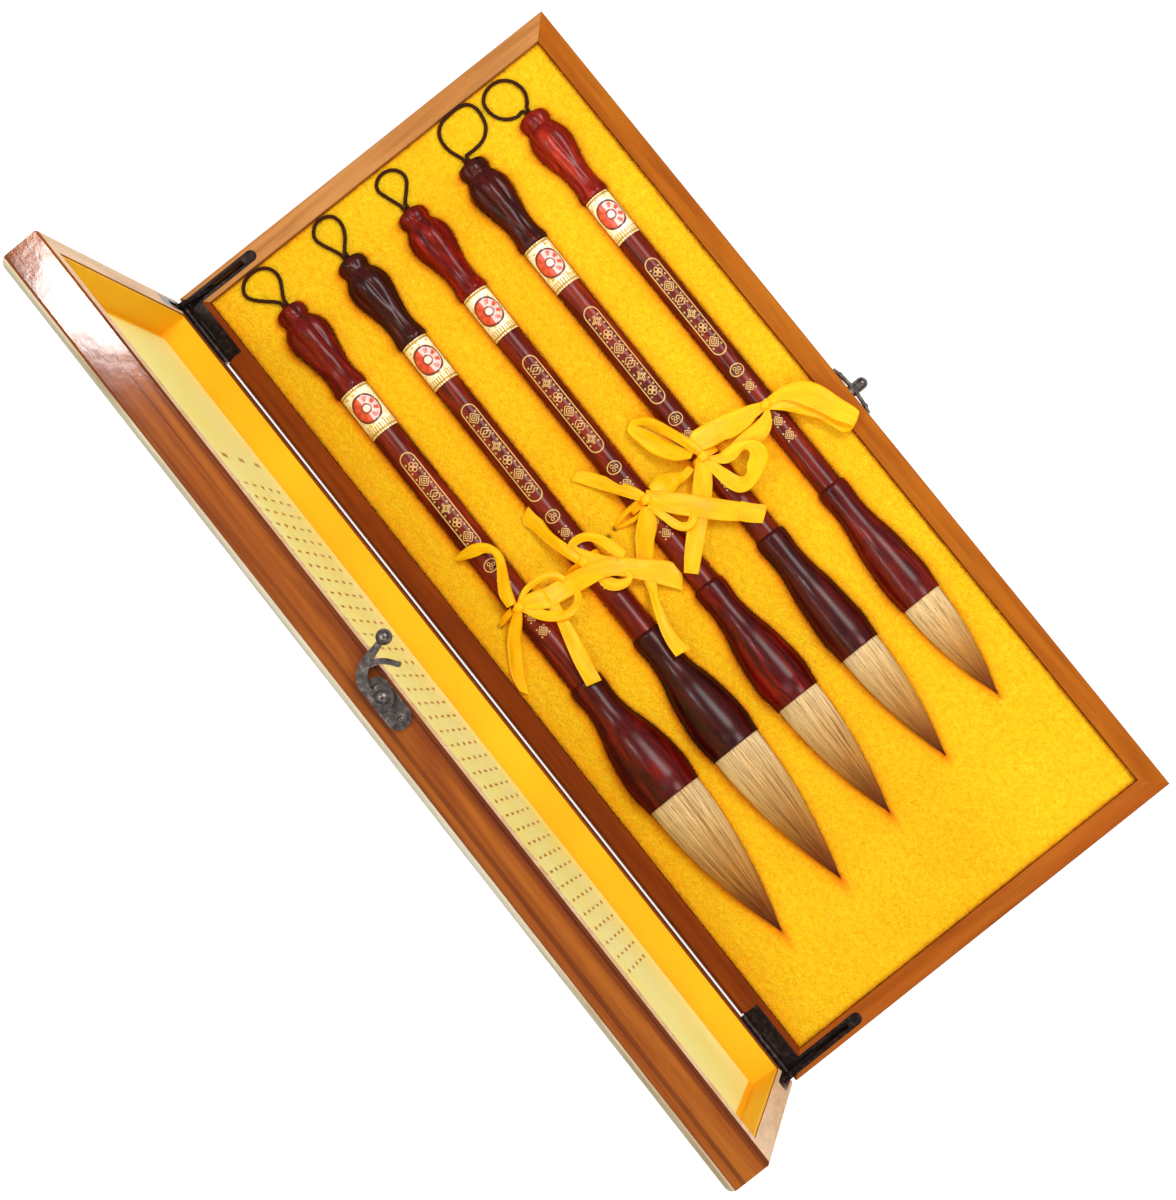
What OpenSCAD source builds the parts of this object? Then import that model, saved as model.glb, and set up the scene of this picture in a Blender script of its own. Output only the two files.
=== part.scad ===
// Calligraphy set box: a shallow hinged wooden case with a plush bed that holds
// five large writing brushes, each tied down with a satin ribbon.
// Frame: origin at the centre of the base's bottom face, +Z up, front towards -Y,
// finial ends of the brushes towards +X. The lid is drawn open.

/* [Box] */
// Outside length of the box
box_length = 400; // [390:1:430]
// Outside depth of the box, front to back
box_depth = 188; // [184:1:200]
// Height of the base, from its bottom face to its rim
base_height = 38; // [36:0.5:46]
// Height of the lid, from its rim to its top
lid_height = 17.4; // [17:0.2:22]
// Thickness of the walls of base and lid
wall_thickness = 8.8; // [8.4:0.1:10]
// Thickness of the bottom panel
bottom_thickness = 4; // [3:0.5:6]
// Thickness of the lid's top panel
top_thickness = 4.4; // [3:0.2:5]
// How far the top panel sits into the lid walls
top_rabbet = 3.6; // [2:0.2:5]
// Radius of the rounded edge around the lid's top
lid_edge_radius = 3.6; // [1:0.2:4.4]
// Radius of the eased edge around both rims
rim_edge_radius = 0.8; // [0.4:0.1:1.5]
// Gap between the two rims when the lid is shut
rim_gap = 0.4; // [0.2:0.1:1]
// Angle of the open lid, measured from shut
lid_open_angle = 94; // [90:1:100]

/* [Lining] */
// Thickness of the lid lining
lining_thickness = 1; // [0.8:0.1:2]
// Height of the plush surface below the base rim
plush_drop = 2.4; // [2:0.2:5]
// Thickness of the plush cover
plush_thickness = 1.5; // [1:0.1:2.5]
// Clearance between a brush and its bed in the plush
bed_clearance = 0.8; // [0.5:0.1:1.2]
// Gap between the insert and the walls
insert_gap = 0.3; // [0.2:0.1:0.8]
// Diameter of the holes that the ribbons go down through
ribbon_hole_d = 3; // [2.6:0.1:4]

/* [Brushes] */
// Distance between neighbouring brushes
brush_pitch = 31.4; // [30:0.1:34]
// Height of the brush axes above the plush surface
axis_above_plush = 0.9; // [0.8:0.1:1.4]
// Place of the finial ends along the box
knob_x = 170; // [166:0.5:171]
// Length of the turned finials
finial_length = 44; // [40:1:48]
// Length of the paper label sleeve on each shaft
label_length = 22; // [18:1:26]
// Thickness of the paper label sleeve
label_thickness = 0.25; // [0.15:0.05:0.5]
// Length of the bare shafts, from label to ferrule
shaft_length = 128.5; // [120:0.5:132]
// Length of the turned ferrules
ferrule_length = 58; // [52:1:62]
// Diameter of the finial knobs
knob_d = 12.4; // [11:0.1:14]
// Diameters of the finial bulbs, largest brush first
bulb_d = [17.3, 16.4, 16.4, 15.9, 15.5];
// Diameters of the shafts, largest brush first
shaft_d = [12, 11, 10.8, 10.8, 10.2];
// Diameters of the ferrule bellies, largest brush first
belly_d = [26.5, 24, 22.2, 19.8, 19.6];
// Diameters of the ferrule mouths, largest brush first
mouth_d = [24.4, 22.2, 19.8, 18.2, 18];
// Lengths of the hair, largest brush first
hair_length = [68, 66, 58, 54, 48];
// Step from shaft to finial flare, in diameter
flare_step = 2.2; // [1:0.1:3]
// Step from shaft to ferrule collar, in diameter
collar_step = 2.6; // [1:0.1:3]
// Depth of the carved lobes on the finials
lobe_depth = 0.35; // [0.1:0.05:0.5]
// Wall of the ferrule at its mouth
mouth_lip = 0.8; // [0.5:0.1:1.5]
// Depth of the hair socket in the ferrule
hair_socket = 8; // [6:0.5:12]
// Diameter of the tenons at both shaft ends
tenon_d = 6; // [4:0.2:7]
// Length of the tenons at both shaft ends
tenon_length = 10; // [6:0.5:14]
// Radial clearance of glued sockets and drilled holes
glue_gap = 0.05; // [0.02:0.01:0.1]

/* [Hair] */
// Number of hair strands in each ring of a tuft, inner ring first
strands_per_ring = [6, 13, 20, 28];
// Places of the rings, as parts of the tuft radius
ring_places = [0.16, 0.42, 0.67, 0.91];
// Thickness of a strand, as a part of the tuft radius
strand_share = 0.088; // [0.06:0.002:0.09]

/* [Cords] */
// Diameter of the hanging cords
cord_d = 1.6; // [1.2:0.1:1.8]
// Diameter of the cord hole in a finial
cord_hole_d = 3.7; // [3.5:0.1:4.2]
// Depth of the cord hole in a finial
cord_hole_depth = 6; // [4:0.5:8]

/* [Ribbons] */
// Width of the satin ribbon
ribbon_width = 7; // [6:0.5:7.5]
// Thickness of the ribbon, two layers pressed together
ribbon_thickness = 0.5; // [0.3:0.1:0.6]

/* [Hinges] */
// Length of the hinge arm along the back wall
back_arm_length = 31; // [28:1:40]
// Width of the hinge arm along the back wall
back_arm_width = 6.6; // [6:0.2:7.4]
// Length of the hinge arm along the side wall
side_arm_length = 36; // [35.5:0.5:42]
// Width of the hinge arm along the side wall
side_arm_width = 5; // [4.6:0.1:5.6]
// Distance from the box's side face to the hinge leaf
leaf_inset = 2; // [1.5:0.1:2.4]
// Thickness of the hinge leaves
leaf_thickness = 1.6; // [1.2:0.1:2]
// Diameter of the hinge barrel
barrel_d = 4.4; // [3.8:0.1:5]
// Diameter of the hinge pin
hinge_pin_d = 1.8; // [1.4:0.1:2.2]
// Distance of the hinge axis behind the back face
axis_back = 1; // [0.8:0.1:1.4]
// Distance of the stay's pivot in front of the hinge axis
stay_pivot_reach = 9; // [8.5:0.5:10]
// Height of the stay's pivot above the lid's rim
stay_pivot_height = 1.5; // [1.4:0.1:1.6]
// Distance of the stay's foot in front of the hinge axis, lid open
stay_foot_reach = 14; // [12:0.5:14.5]
// Depth of the stay's foot below the base rim
stay_foot_drop = 3; // [2.5:0.1:3.5]
// Width of the stay arm
stay_width = 2.6; // [2.2:0.1:2.8]
// Thickness of the stay arm
stay_thickness = 1.4; // [1:0.1:1.6]
// Width of the slots that the stay runs in
slot_width = 2.2; // [2:0.1:2.4]
// Diameter of the stay's pivot pin
stay_pin_d = 1.4; // [1.2:0.1:1.5]
// Diameter of the hinge screws' heads
screw_head_d = 3.2; // [2.8:0.1:3.6]
// Diameter of the hinge screws' shanks
screw_shank_d = 1.5; // [1.2:0.1:1.8]
// Length of the hinge screws
screw_length = 8; // [6:0.5:9]

/* [Latch] */
// Height of the latch rivet above the lid's rim
rivet_height = 5.4; // [5.2:0.1:6.5]
// Distance from rivet to stud when the latch is shut
latch_reach = 8.5; // [8.3:0.1:8.6]
// Length of the latch backplate
backplate_length = 20.4; // [19:0.2:24]
// Width of the latch backplate
backplate_width = 9; // [8.6:0.1:10]
// Offset of the backplate from its rivet, along the box
backplate_offset = 2.4; // [1:0.1:3]
// Thickness of the latch backplate
backplate_thickness = 1.2; // [0.8:0.1:1.4]
// Thickness of the latch hook
hook_thickness = 1.8; // [1.4:0.1:2]
// Distance from the lid's face to the underside of the hook
hook_standoff = 2.6; // [2.6:0.1:3]
// Radius of the hook's eye
hook_eye_r = 4.2; // [3.6:0.1:4.4]
// Radius of the ball on the hook
hook_ball_r = 2.85; // [2.4:0.05:2.9]
// Width of the hook's arm at its bend
hook_arm_width = 3.9; // [3.2:0.1:4.2]
// Width of the hook's finger
hook_finger_width = 2.1; // [1.6:0.1:2.2]
// Diameter of the latch rivet
rivet_d = 2.6; // [2.2:0.1:3]
// Diameter of the rivet's domed head
rivet_head_d = 5.5; // [5:0.1:6.5]
// Diameter of the catch stud
stud_d = 5; // [4.6:0.1:5.1]
// Height of the stud's tip above the base's face
stud_height = 8.1; // [7:0.1:9]
// Length of the bowed catch plate
catch_length = 22.8; // [21:0.2:26]
// Height of the bowed catch plate
catch_width = 7; // [6:0.2:7.6]
// Height of the catch plate's crown above the base's face
catch_crown = 2.3; // [1.8:0.1:2.3]
// Thickness of the bowed catch plate
catch_thickness = 1; // [0.8:0.1:1.2]
// Diameter of the small nail heads
nail_head_d = 2.4; // [2:0.1:2.8]
// Diameter of the small nails
nail_d = 1.2; // [1:0.1:1.4]
// Length of the small nails in the wood
nail_length = 5; // [4:0.5:6]

/* [Hidden] */
BRUSHES = 5;

$fn = 48;
HOLE_FN = 24;
eps = 0.01;
play = 0.05;

wood = [0.62, 0.36, 0.17];
bronze = [0.16, 0.14, 0.13];
plush = [0.98, 0.80, 0.14];
foam = [0.95, 0.93, 0.85];
lining = [1, 0.78, 0.2];
redwood = [0.42, 0.07, 0.05];
hair = [0.78, 0.60, 0.36];
cord = [0.15, 0.08, 0.05];
satin = [1, 0.85, 0.2];

half_l = box_length / 2;
half_d = box_depth / 2;
inner_l = half_l - wall_thickness;
inner_d = half_d - wall_thickness;
lid_rim_z = base_height + rim_gap;
lid_top_z = lid_rim_z + lid_height;
plush_z = base_height - plush_drop;
foam_z = plush_z - plush_thickness;
axis_z = plush_z + axis_above_plush;

// Hinge axis, seen from the side: its place behind the back face and at mid gap
hinge_y = half_d + axis_back;
hinge_z = base_height + rim_gap / 2;

label_x = knob_x - finial_length;
shaft_x = label_x - label_length;
ferrule_x = shaft_x - shaft_length;
mouth_x = ferrule_x - ferrule_length;

function brush_y(i) = (2 - i) * brush_pitch - 0.9;

// Points of a smooth curve through the given ones, n steps to each stretch
function at(p, i) = p[max(0, min(len(p) - 1, i))];
function blend_point(a, b, c, d, t) =
  0.5 * (2 * b + (c - a) * t + (2 * a - 5 * b + 4 * c - d) * t * t
  + (3 * b - a - 3 * c + d) * t * t * t);
function smooth(p, n) = [
  for (i = [0:len(p) - 2])
    for (k = [0:n - 1])
      blend_point(at(p, i - 1), p[i], p[i + 1], at(p, i + 2), k / n),
  p[len(p) - 1]
];

// Quarter arc of a wall profile, centred on c, from angle a to a + 90
function quarter(c, r, a) = [for (k = [0:6]) c + r * [cos(a + 15 * k), sin(a + 15 * k)]];

// Swept solids: rings of points joined by triangles, with both ends closed
function ring_faces(rings, sides) = [
  for (r = [0:rings - 2])
    for (s = [0:sides - 1])
      let (a = r * sides + s, b = r * sides + (s + 1) % sides)
        each [[a, b, b + sides], [a, b + sides, a + sides]]
];
function end_faces(rings, sides) = [
  [for (s = [sides - 1:-1:0]) s],
  [for (s = [0:sides - 1]) (rings - 1) * sides + s]
];

module sweep(rings) {
  sides = len(rings[0]);
  points = [for (ring = rings) each ring];
  polyhedron(points, concat(ring_faces(len(rings), sides), end_faces(len(rings), sides)));
}

function unit(v) = v / norm(v);
function tangent(p, i) = unit(at(p, i + 1) - at(p, i - 1));

// Side vectors carried along a path without twisting, from a first one
function carried(p, first) = [
  for (
    i = 0, s = unit(first - (first * tangent(p, 0)) * tangent(p, 0));
    i < len(p);
    i = i + 1, s = i < len(p) ? unit(s - (s * tangent(p, i)) * tangent(p, i)) : s
  ) s
];

module tube(path, d, sides) {
  side = carried(path, [0, 0, 1]);
  sweep([
    for (i = [0:len(path) - 1])
      let (t = tangent(path, i), s = side[i], n = cross(s, t))
        [for (k = [0:sides - 1]) path[i] + d / 2 * (cos(360 * k / sides) * s + sin(360 * k / sides) * n)]
  ]);
}

module strip(path, width, thickness, tilt) {
  start = tangent(path, 0);
  flat_side = unit(cross([0, 0, 1], start));
  side = carried(path, cos(tilt) * flat_side + sin(tilt) * [0, 0, 1]);
  sweep([
    for (i = [0:len(path) - 1])
      let (n = cross(side[i], tangent(path, i)) * thickness / 2, s = side[i] * width / 2)
        [path[i] + s + n, path[i] - s + n, path[i] - s - n, path[i] + s - n]
  ]);
}

// Moves a lid part from its shut place, in which it is drawn, to its open one
module opened() {
  translate([0, hinge_y, hinge_z])
    rotate([-lid_open_angle, 0, 0])
      translate([0, -hinge_y, -hinge_z])
        children();
}

module mirrored(side) {
  mirror([side < 0 ? 1 : 0, 0, 0]) children();
}

// Hinges

leaf_x = half_l - leaf_inset;
arm_x = leaf_x - side_arm_width / 2;
knuckle_gap = 0.3;
knuckle_length = (back_arm_length - 2 * knuckle_gap) / 3;
barrel_room = barrel_d / 2 + 0.4;
screw_y = half_d - 4.1;
screw_places = [
  [leaf_x - back_arm_length + 4, screw_y],
  [leaf_x - back_arm_length + 18, screw_y],
  [arm_x, half_d - side_arm_length + 3.4]
];

// The stay, in distance ahead of the hinge axis and height over it
pivot_shut = [stay_pivot_reach, stay_pivot_height + rim_gap / 2];
pivot_open = [
  pivot_shut[0] * cos(lid_open_angle) - pivot_shut[1] * sin(lid_open_angle),
  pivot_shut[0] * sin(lid_open_angle) + pivot_shut[1] * cos(lid_open_angle)
];
foot_z = -stay_foot_drop - rim_gap / 2;
foot_open = [stay_foot_reach, foot_z];
stay_length = norm(foot_open - pivot_open);
foot_shut_reach = pivot_shut[0] + sqrt(pow(stay_length, 2) - pow(pivot_shut[1] - foot_z, 2));
slot_front = foot_shut_reach + stay_width / 2 + 0.6;
slot_back = 7.4;
lid_slot_front = 22.5;
lid_slot_back = 5.6;
pocket_depth = stay_foot_drop + stay_width / 2 + 1.2;
lid_pocket_height = 4;

module barrel(r, from, to) {
  translate([from, hinge_y, hinge_z]) rotate([0, 90, 0]) cylinder(r = r, h = to - from);
}

// Knuckles counted from the box's side face: 0 and 2 on the base, 1 on the lid
function knuckle_end(k) = leaf_x - k * (knuckle_length + knuckle_gap);

module knuckle(k, r, extra = 0) {
  barrel(r, knuckle_end(k) - knuckle_length - extra, knuckle_end(k) + extra);
}

module leaf_outline() {
  translate([leaf_x - back_arm_length, half_d - back_arm_width])
    square([back_arm_length, back_arm_width + axis_back]);
  translate([leaf_x - side_arm_width, half_d - side_arm_length + side_arm_width / 2])
    square([side_arm_width, side_arm_length - side_arm_width / 2]);
  translate([arm_x, half_d - side_arm_length + side_arm_width / 2]) circle(d = side_arm_width);
}

module slot_box(back, front, z, height, width) {
  translate([arm_x - width / 2, hinge_y - front, z]) cube([width, front - back, height]);
}

// One screw with its head flush at z = 0 and its point down
module screw(gap = 0) {
  translate([0, 0, -0.9]) cylinder(d1 = screw_shank_d + 2 * gap, d2 = screw_head_d + 2 * gap, h = 0.9 + gap);
  translate([0, 0, -screw_length - gap]) cylinder(d = screw_shank_d + 2 * gap, h = screw_length + gap, $fn = HOLE_FN);
}

module base_screws(gap = 0) {
  for (p = screw_places) translate([p[0], p[1], base_height - 0.1]) screw(gap);
}

module lid_screws(gap = 0) {
  for (p = screw_places) translate([p[0], p[1], lid_rim_z + 0.1]) mirror([0, 0, 1]) screw(gap);
}

module base_leaf_room() {
  translate([0, 0, base_height - leaf_thickness]) linear_extrude(leaf_thickness + 1) leaf_outline();
  barrel(barrel_room, leaf_x - back_arm_length - knuckle_gap, leaf_x + knuckle_gap);
  slot_box(slot_back, slot_front, base_height - pocket_depth, pocket_depth, slot_width + 0.4);
  base_screws(play);
}

module lid_leaf_room() {
  translate([0, 0, lid_rim_z - 1]) linear_extrude(leaf_thickness + 1) leaf_outline();
  barrel(barrel_room, leaf_x - back_arm_length - knuckle_gap, leaf_x + knuckle_gap);
  slot_box(lid_slot_back, lid_slot_front, lid_rim_z, lid_pocket_height, slot_width + 2.4);
  lid_screws(play);
}

module base_leaf(side) {
  color(bronze) mirrored(side) difference() {
    union() {
      difference() {
        translate([0, 0, base_height - leaf_thickness]) linear_extrude(leaf_thickness) leaf_outline();
        knuckle(1, barrel_room, knuckle_gap);
      }
      knuckle(0, barrel_d / 2);
      knuckle(2, barrel_d / 2);
    }
    barrel(hinge_pin_d / 2 + play, leaf_x - back_arm_length - 1, leaf_x + 1, $fn = HOLE_FN);
    slot_box(slot_back, slot_front, base_height - leaf_thickness - 1, leaf_thickness + 2, slot_width);
    base_screws(play);
  }
}

module lid_leaf(side) {
  color(bronze) opened() mirrored(side) {
    difference() {
      union() {
        difference() {
          translate([0, 0, lid_rim_z]) linear_extrude(leaf_thickness) leaf_outline();
          knuckle(0, barrel_room, knuckle_gap);
          knuckle(2, barrel_room, knuckle_gap);
        }
        knuckle(1, barrel_d / 2);
      }
      barrel(hinge_pin_d / 2 + play, leaf_x - back_arm_length - 1, leaf_x + 1, $fn = HOLE_FN);
      slot_box(lid_slot_back, lid_slot_front, lid_rim_z - 1, leaf_thickness + 2, slot_width);
      lid_screws(play);
    }
    translate([arm_x - slot_width / 2 - 0.8, hinge_y - stay_pivot_reach, lid_rim_z + stay_pivot_height])
      rotate([0, 90, 0]) cylinder(d = stay_pin_d, h = slot_width + 1.6, $fn = HOLE_FN);
  }
}

module hinge_pin(side) {
  color(bronze) mirrored(side)
    barrel(hinge_pin_d / 2, leaf_x - back_arm_length, leaf_x, $fn = HOLE_FN);
}

module stay_arm(side) {
  angle = atan2(pivot_open[1] - foot_open[1], foot_open[0] - pivot_open[0]);
  eye_d = stay_width + 0.6;
  color(bronze) mirrored(side)
    translate([arm_x - stay_thickness / 2, hinge_y - pivot_open[0], hinge_z + pivot_open[1]])
      rotate([angle, 0, 0]) rotate([0, 90, 0]) difference() {
        union() {
          cylinder(d = eye_d, h = stay_thickness);
          translate([-stay_width / 2, -stay_length, 0]) cube([stay_width, stay_length, stay_thickness]);
          translate([0, -stay_length, 0]) cylinder(d = stay_width, h = stay_thickness);
        }
        translate([0, 0, -1]) cylinder(d = stay_pin_d + 2 * play, h = stay_thickness + 2, $fn = HOLE_FN);
      }
}

module hinge_screws_base() {
  color(bronze) for (side = [-1, 1]) mirrored(side) base_screws();
}

module hinge_screws_lid() {
  color(bronze) opened() for (side = [-1, 1]) mirrored(side) lid_screws();
}

// Latch and catch, drawn with the lid shut

rivet_z = lid_rim_z + rivet_height;
stud_z = rivet_z - latch_reach;
face_y = -half_d;

// Lays a shape drawn in x and z, rising from the front face, on that face
module on_front(z) {
  translate([0, face_y, z]) rotate([90, 0, 0]) children();
}

backplate_nails = [-6.8 - backplate_offset, backplate_length / 2 - backplate_offset - 3.4];
catch_nail_x = catch_length / 2 - 3.4;
// The plate hangs from just under the rim, so its stud sits above its middle
catch_z = base_height - 0.4 - catch_width / 2;
catch_foot = 0.8;
catch_radius = (pow(catch_length / 2 - catch_foot, 2) + pow(catch_crown - catch_thickness, 2))
  / (2 * (catch_crown - catch_thickness));

module oval(length, width, height) {
  run = length - width;
  translate([-run / 2, 0, 0]) cylinder(d = width, h = height);
  translate([run / 2, 0, 0]) cylinder(d = width, h = height);
  translate([-run / 2, -width / 2, 0]) cube([run, width, height]);
}

// A nail with a domed head that sits on z = 0
module nail(gap = 0) {
  translate([0, 0, -nail_length - gap]) cylinder(d = nail_d + 2 * gap, h = nail_length + gap + eps, $fn = HOLE_FN);
  if (gap == 0) rotate_extrude($fn = HOLE_FN) intersection() {
    translate([0, -nail_head_d * 0.45]) circle(r = nail_head_d * 0.67, $fn = 48);
    square([nail_head_d / 2, nail_head_d]);
  }
}

module latch_backplate() {
  color(bronze) opened() on_front(rivet_z) difference() {
    union() {
      translate([-backplate_offset, 0, 0]) oval(backplate_length, backplate_width, backplate_thickness);
      difference() {
        translate([-backplate_offset, 0, 0])
          oval(backplate_length, backplate_width, backplate_thickness + 0.4);
        translate([-backplate_offset, 0, 0])
          oval(backplate_length - 1.4, backplate_width - 1.4, backplate_thickness + 1);
      }
    }
    translate([0, 0, -1]) cylinder(d = rivet_d + 2 * play, h = 5, $fn = HOLE_FN);
    for (x = backplate_nails) translate([x, 0, backplate_thickness]) nail(play);
  }
}

module latch_nails() {
  color(bronze) opened() on_front(rivet_z)
    for (x = backplate_nails) translate([x, 0, backplate_thickness]) nail();
}

rivet_depth = 6;
rivet_collar_d = 6.4;
rivet_head_height = 1.9;

// Shank, collar under the hook and domed head
module latch_rivet() {
  head_z = hook_standoff + hook_thickness + 0.15;
  color(bronze) opened() on_front(rivet_z) {
    translate([0, 0, -rivet_depth])
      cylinder(d = rivet_d, h = rivet_depth + head_z + eps, $fn = HOLE_FN);
    translate([0, 0, backplate_thickness])
      cylinder(d = rivet_collar_d, h = hook_standoff - backplate_thickness - 0.15);
    translate([0, 0, head_z]) rotate_extrude() intersection() {
      translate([0, rivet_head_height - rivet_head_d * 0.6]) circle(r = rivet_head_d * 0.6);
      square([rivet_head_d / 2, rivet_head_height]);
    }
  }
}

// The hook's plan, x along the box and y up, with the rivet at its origin
hook_arm = [[0, 0, 1], [3, 2.2, 0.85], [6.2, 2.4, 0.9], [9.4, 1.2, 1], [11.9, -1.6, 0.95],
  [13.3, -4.8, 0.8], [14.3, -8.4, 0.62], [15.6, -13.1, 0.55]];
hook_finger = [[11.4, -3.2, 1], [10.4, -6.4, 1], [8.4, -9, 1], [5.4, -11.2, 0.9]];

function curve_side(p, i, w, sign) =
  let (t = unit([at(p, i + 1)[0] - at(p, i - 1)[0], at(p, i + 1)[1] - at(p, i - 1)[1]]))
    [p[i][0], p[i][1]] + sign * w / 2 * p[i][2] * [-t[1], t[0]];

module curved_bar(points, width) {
  p = smooth(points, 4);
  n = len(p) - 1;
  polygon(concat(
    [for (i = [0:n]) curve_side(p, i, width, 1)],
    [for (i = [n:-1:0]) curve_side(p, i, width, -1)]
  ));
}

module latch_hook() {
  tip = hook_finger[3];
  ball = hook_arm[7];
  color(bronze) opened() on_front(rivet_z) {
    translate([0, 0, hook_standoff]) linear_extrude(hook_thickness) difference() {
      union() {
        circle(r = hook_eye_r);
        curved_bar(hook_arm, hook_arm_width);
        curved_bar(hook_finger, hook_finger_width);
        translate([tip[0], tip[1]]) circle(d = hook_finger_width * tip[2], $fn = HOLE_FN);
      }
      circle(d = rivet_d + 2 * play, $fn = HOLE_FN);
    }
    translate([ball[0], ball[1], hook_standoff + hook_thickness / 2]) sphere(r = hook_ball_r);
  }
}

module catch_plate() {
  centre = catch_crown - catch_thickness - catch_radius;
  color(bronze) on_front(catch_z) difference() {
    intersection() {
      translate([0, catch_width / 2, centre]) rotate([90, 0, 0]) difference() {
        cylinder(r = catch_radius + catch_thickness, h = catch_width, $fn = 96);
        translate([0, 0, -1]) cylinder(r = catch_radius, h = catch_width + 2, $fn = 96);
      }
      translate([-catch_length / 2, -catch_width / 2, 0]) cube([catch_length, catch_width, catch_crown + 1]);
    }
    translate([0, stud_z - catch_z, -1]) cylinder(d = stud_d + 2 * play, h = 6);
    for (x = [-catch_nail_x, catch_nail_x]) translate([x, 0, 0]) nail_through();
  }
}

module nail_through() {
  translate([0, 0, -1]) cylinder(d = nail_d + 2 * play, h = 6, $fn = HOLE_FN);
}

// Height of the bowed plate's outer face at a distance x from its middle
function bow_height(x) =
  sqrt(pow(catch_radius + catch_thickness, 2) - x * x) + catch_crown - catch_thickness - catch_radius;

module catch_nails() {
  color(bronze) on_front(catch_z) for (x = [-catch_nail_x, catch_nail_x])
    translate([x, 0, bow_height(catch_nail_x) + 0.25]) nail();
}

stud_depth = 4;

module catch_stud() {
  color(bronze) on_front(stud_z) rotate_extrude() {
    translate([0, -stud_depth]) square([stud_d / 2, stud_depth + stud_height - stud_d / 2]);
    intersection() {
      translate([0, stud_height - stud_d / 2]) circle(d = stud_d);
      square([stud_d / 2, stud_height]);
    }
  }
}

// Walls

// Profile of a base wall: x inwards from the outer face, y up from the bottom
function base_profile() = concat(
  [[wall_thickness, 0]],
  [[wall_thickness, base_height]],
  quarter([rim_edge_radius, base_height - rim_edge_radius], rim_edge_radius, 90),
  [[0, 0]]
);

// Profile of a lid wall: x inwards from the outer face, y up from the lid's rim
function lid_profile() = concat(
  [[rim_edge_radius, 0], [wall_thickness, 0], [wall_thickness, lid_height - top_thickness],
  [wall_thickness - top_rabbet, lid_height - top_thickness], [wall_thickness - top_rabbet, lid_height]],
  quarter([lid_edge_radius, lid_height - lid_edge_radius], lid_edge_radius, 90),
  [[0, rim_edge_radius]]
);

// A wall with mitred ends: length and depth are half sizes of the box along
// and across the wall, and the wall stands at the negative side of y
module mitred_wall(profile, length, depth, z, height) {
  in = wall_thickness + 1;
  intersection() {
    translate([-length, -depth, z]) rotate([90, 0, 90]) linear_extrude(2 * length) polygon(profile);
    translate([0, 0, z - 1]) linear_extrude(height + 2)
      polygon([[-length, -depth], [length, -depth], [length - in, in - depth], [in - length, in - depth]]);
  }
}

module base_wall_blank(turn, length, depth) {
  rotate([0, 0, turn]) mitred_wall(base_profile(), length, depth, 0, base_height);
}

module lid_wall_blank(turn, length, depth) {
  rotate([0, 0, turn]) mitred_wall(lid_profile(), length, depth, lid_rim_z, lid_height);
}

module base_front_wall() {
  color(wood) difference() {
    base_wall_blank(0, half_l, half_d);
    on_front(stud_z) translate([0, 0, -stud_depth - play])
      cylinder(d = stud_d + 2 * play, h = stud_depth + 1);
    on_front(catch_z) for (x = [-catch_nail_x, catch_nail_x])
      translate([x, 0, bow_height(catch_nail_x) + 0.25]) nail(play);
  }
}

module base_back_wall() {
  color(wood) difference() {
    base_wall_blank(180, half_l, half_d);
    for (side = [-1, 1]) mirrored(side) base_leaf_room();
  }
}

module base_side_wall(side) {
  color(wood) difference() {
    base_wall_blank(90 * side, half_d, half_l);
    mirrored(side) base_leaf_room();
  }
}

module base_bottom() {
  color(wood) translate([-inner_l, -inner_d, 0]) cube([2 * inner_l, 2 * inner_d, bottom_thickness]);
}

module lid_front_wall() {
  color(wood) opened() difference() {
    lid_wall_blank(0, half_l, half_d);
    on_front(rivet_z) translate([0, 0, -rivet_depth - play])
      cylinder(d = rivet_d + 2 * play, h = rivet_depth + 1, $fn = HOLE_FN);
    on_front(rivet_z) for (x = backplate_nails) translate([x, 0, backplate_thickness]) nail(play);
  }
}

module lid_back_wall() {
  color(wood) opened() difference() {
    lid_wall_blank(180, half_l, half_d);
    for (side = [-1, 1]) mirrored(side) lid_leaf_room();
  }
}

module lid_side_wall(side) {
  color(wood) opened() difference() {
    lid_wall_blank(90 * side, half_d, half_l);
    mirrored(side) lid_leaf_room();
  }
}

module lid_top() {
  length = half_l - wall_thickness + top_rabbet;
  depth = half_d - wall_thickness + top_rabbet;
  color(wood) opened() translate([-length, -depth, lid_top_z - top_thickness])
    cube([2 * length, 2 * depth, top_thickness]);
}

lining_floor_z = lid_top_z - top_thickness;

module lid_lining() {
  outer_l = inner_l - play;
  outer_d = inner_d - play;
  color(lining) opened() difference() {
    translate([-outer_l, -outer_d, lid_rim_z + 0.6])
      cube([2 * outer_l, 2 * outer_d, lining_floor_z - lid_rim_z - 0.6]);
    translate([lining_thickness - outer_l, lining_thickness - outer_d, lid_rim_z - 1])
      cube([2 * (outer_l - lining_thickness), 2 * (outer_d - lining_thickness),
        lining_floor_z - lining_thickness - lid_rim_z + 1]);
  }
}

// Brushes, each drawn along its own axis: x as in the box, r from the axis

// Finial radii: part of the length from the knob's end, then the radius
function finial_profile(i) = [
  [0, knob_d * 0.3], [0.025, knob_d * 0.43], [0.07, knob_d * 0.5], [0.12, knob_d * 0.5],
  [0.165, knob_d * 0.465], [0.24, bulb_d[i] * 0.44], [0.36, bulb_d[i] * 0.5],
  [0.46, bulb_d[i] * 0.49], [0.58, bulb_d[i] * 0.42], [0.7, shaft_d[i] * 0.53],
  [0.8, shaft_d[i] * 0.505], [0.9, shaft_d[i] * 0.54], [0.97, (shaft_d[i] + flare_step) / 2],
  [1, (shaft_d[i] + flare_step) / 2 - 0.3]
];

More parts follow.
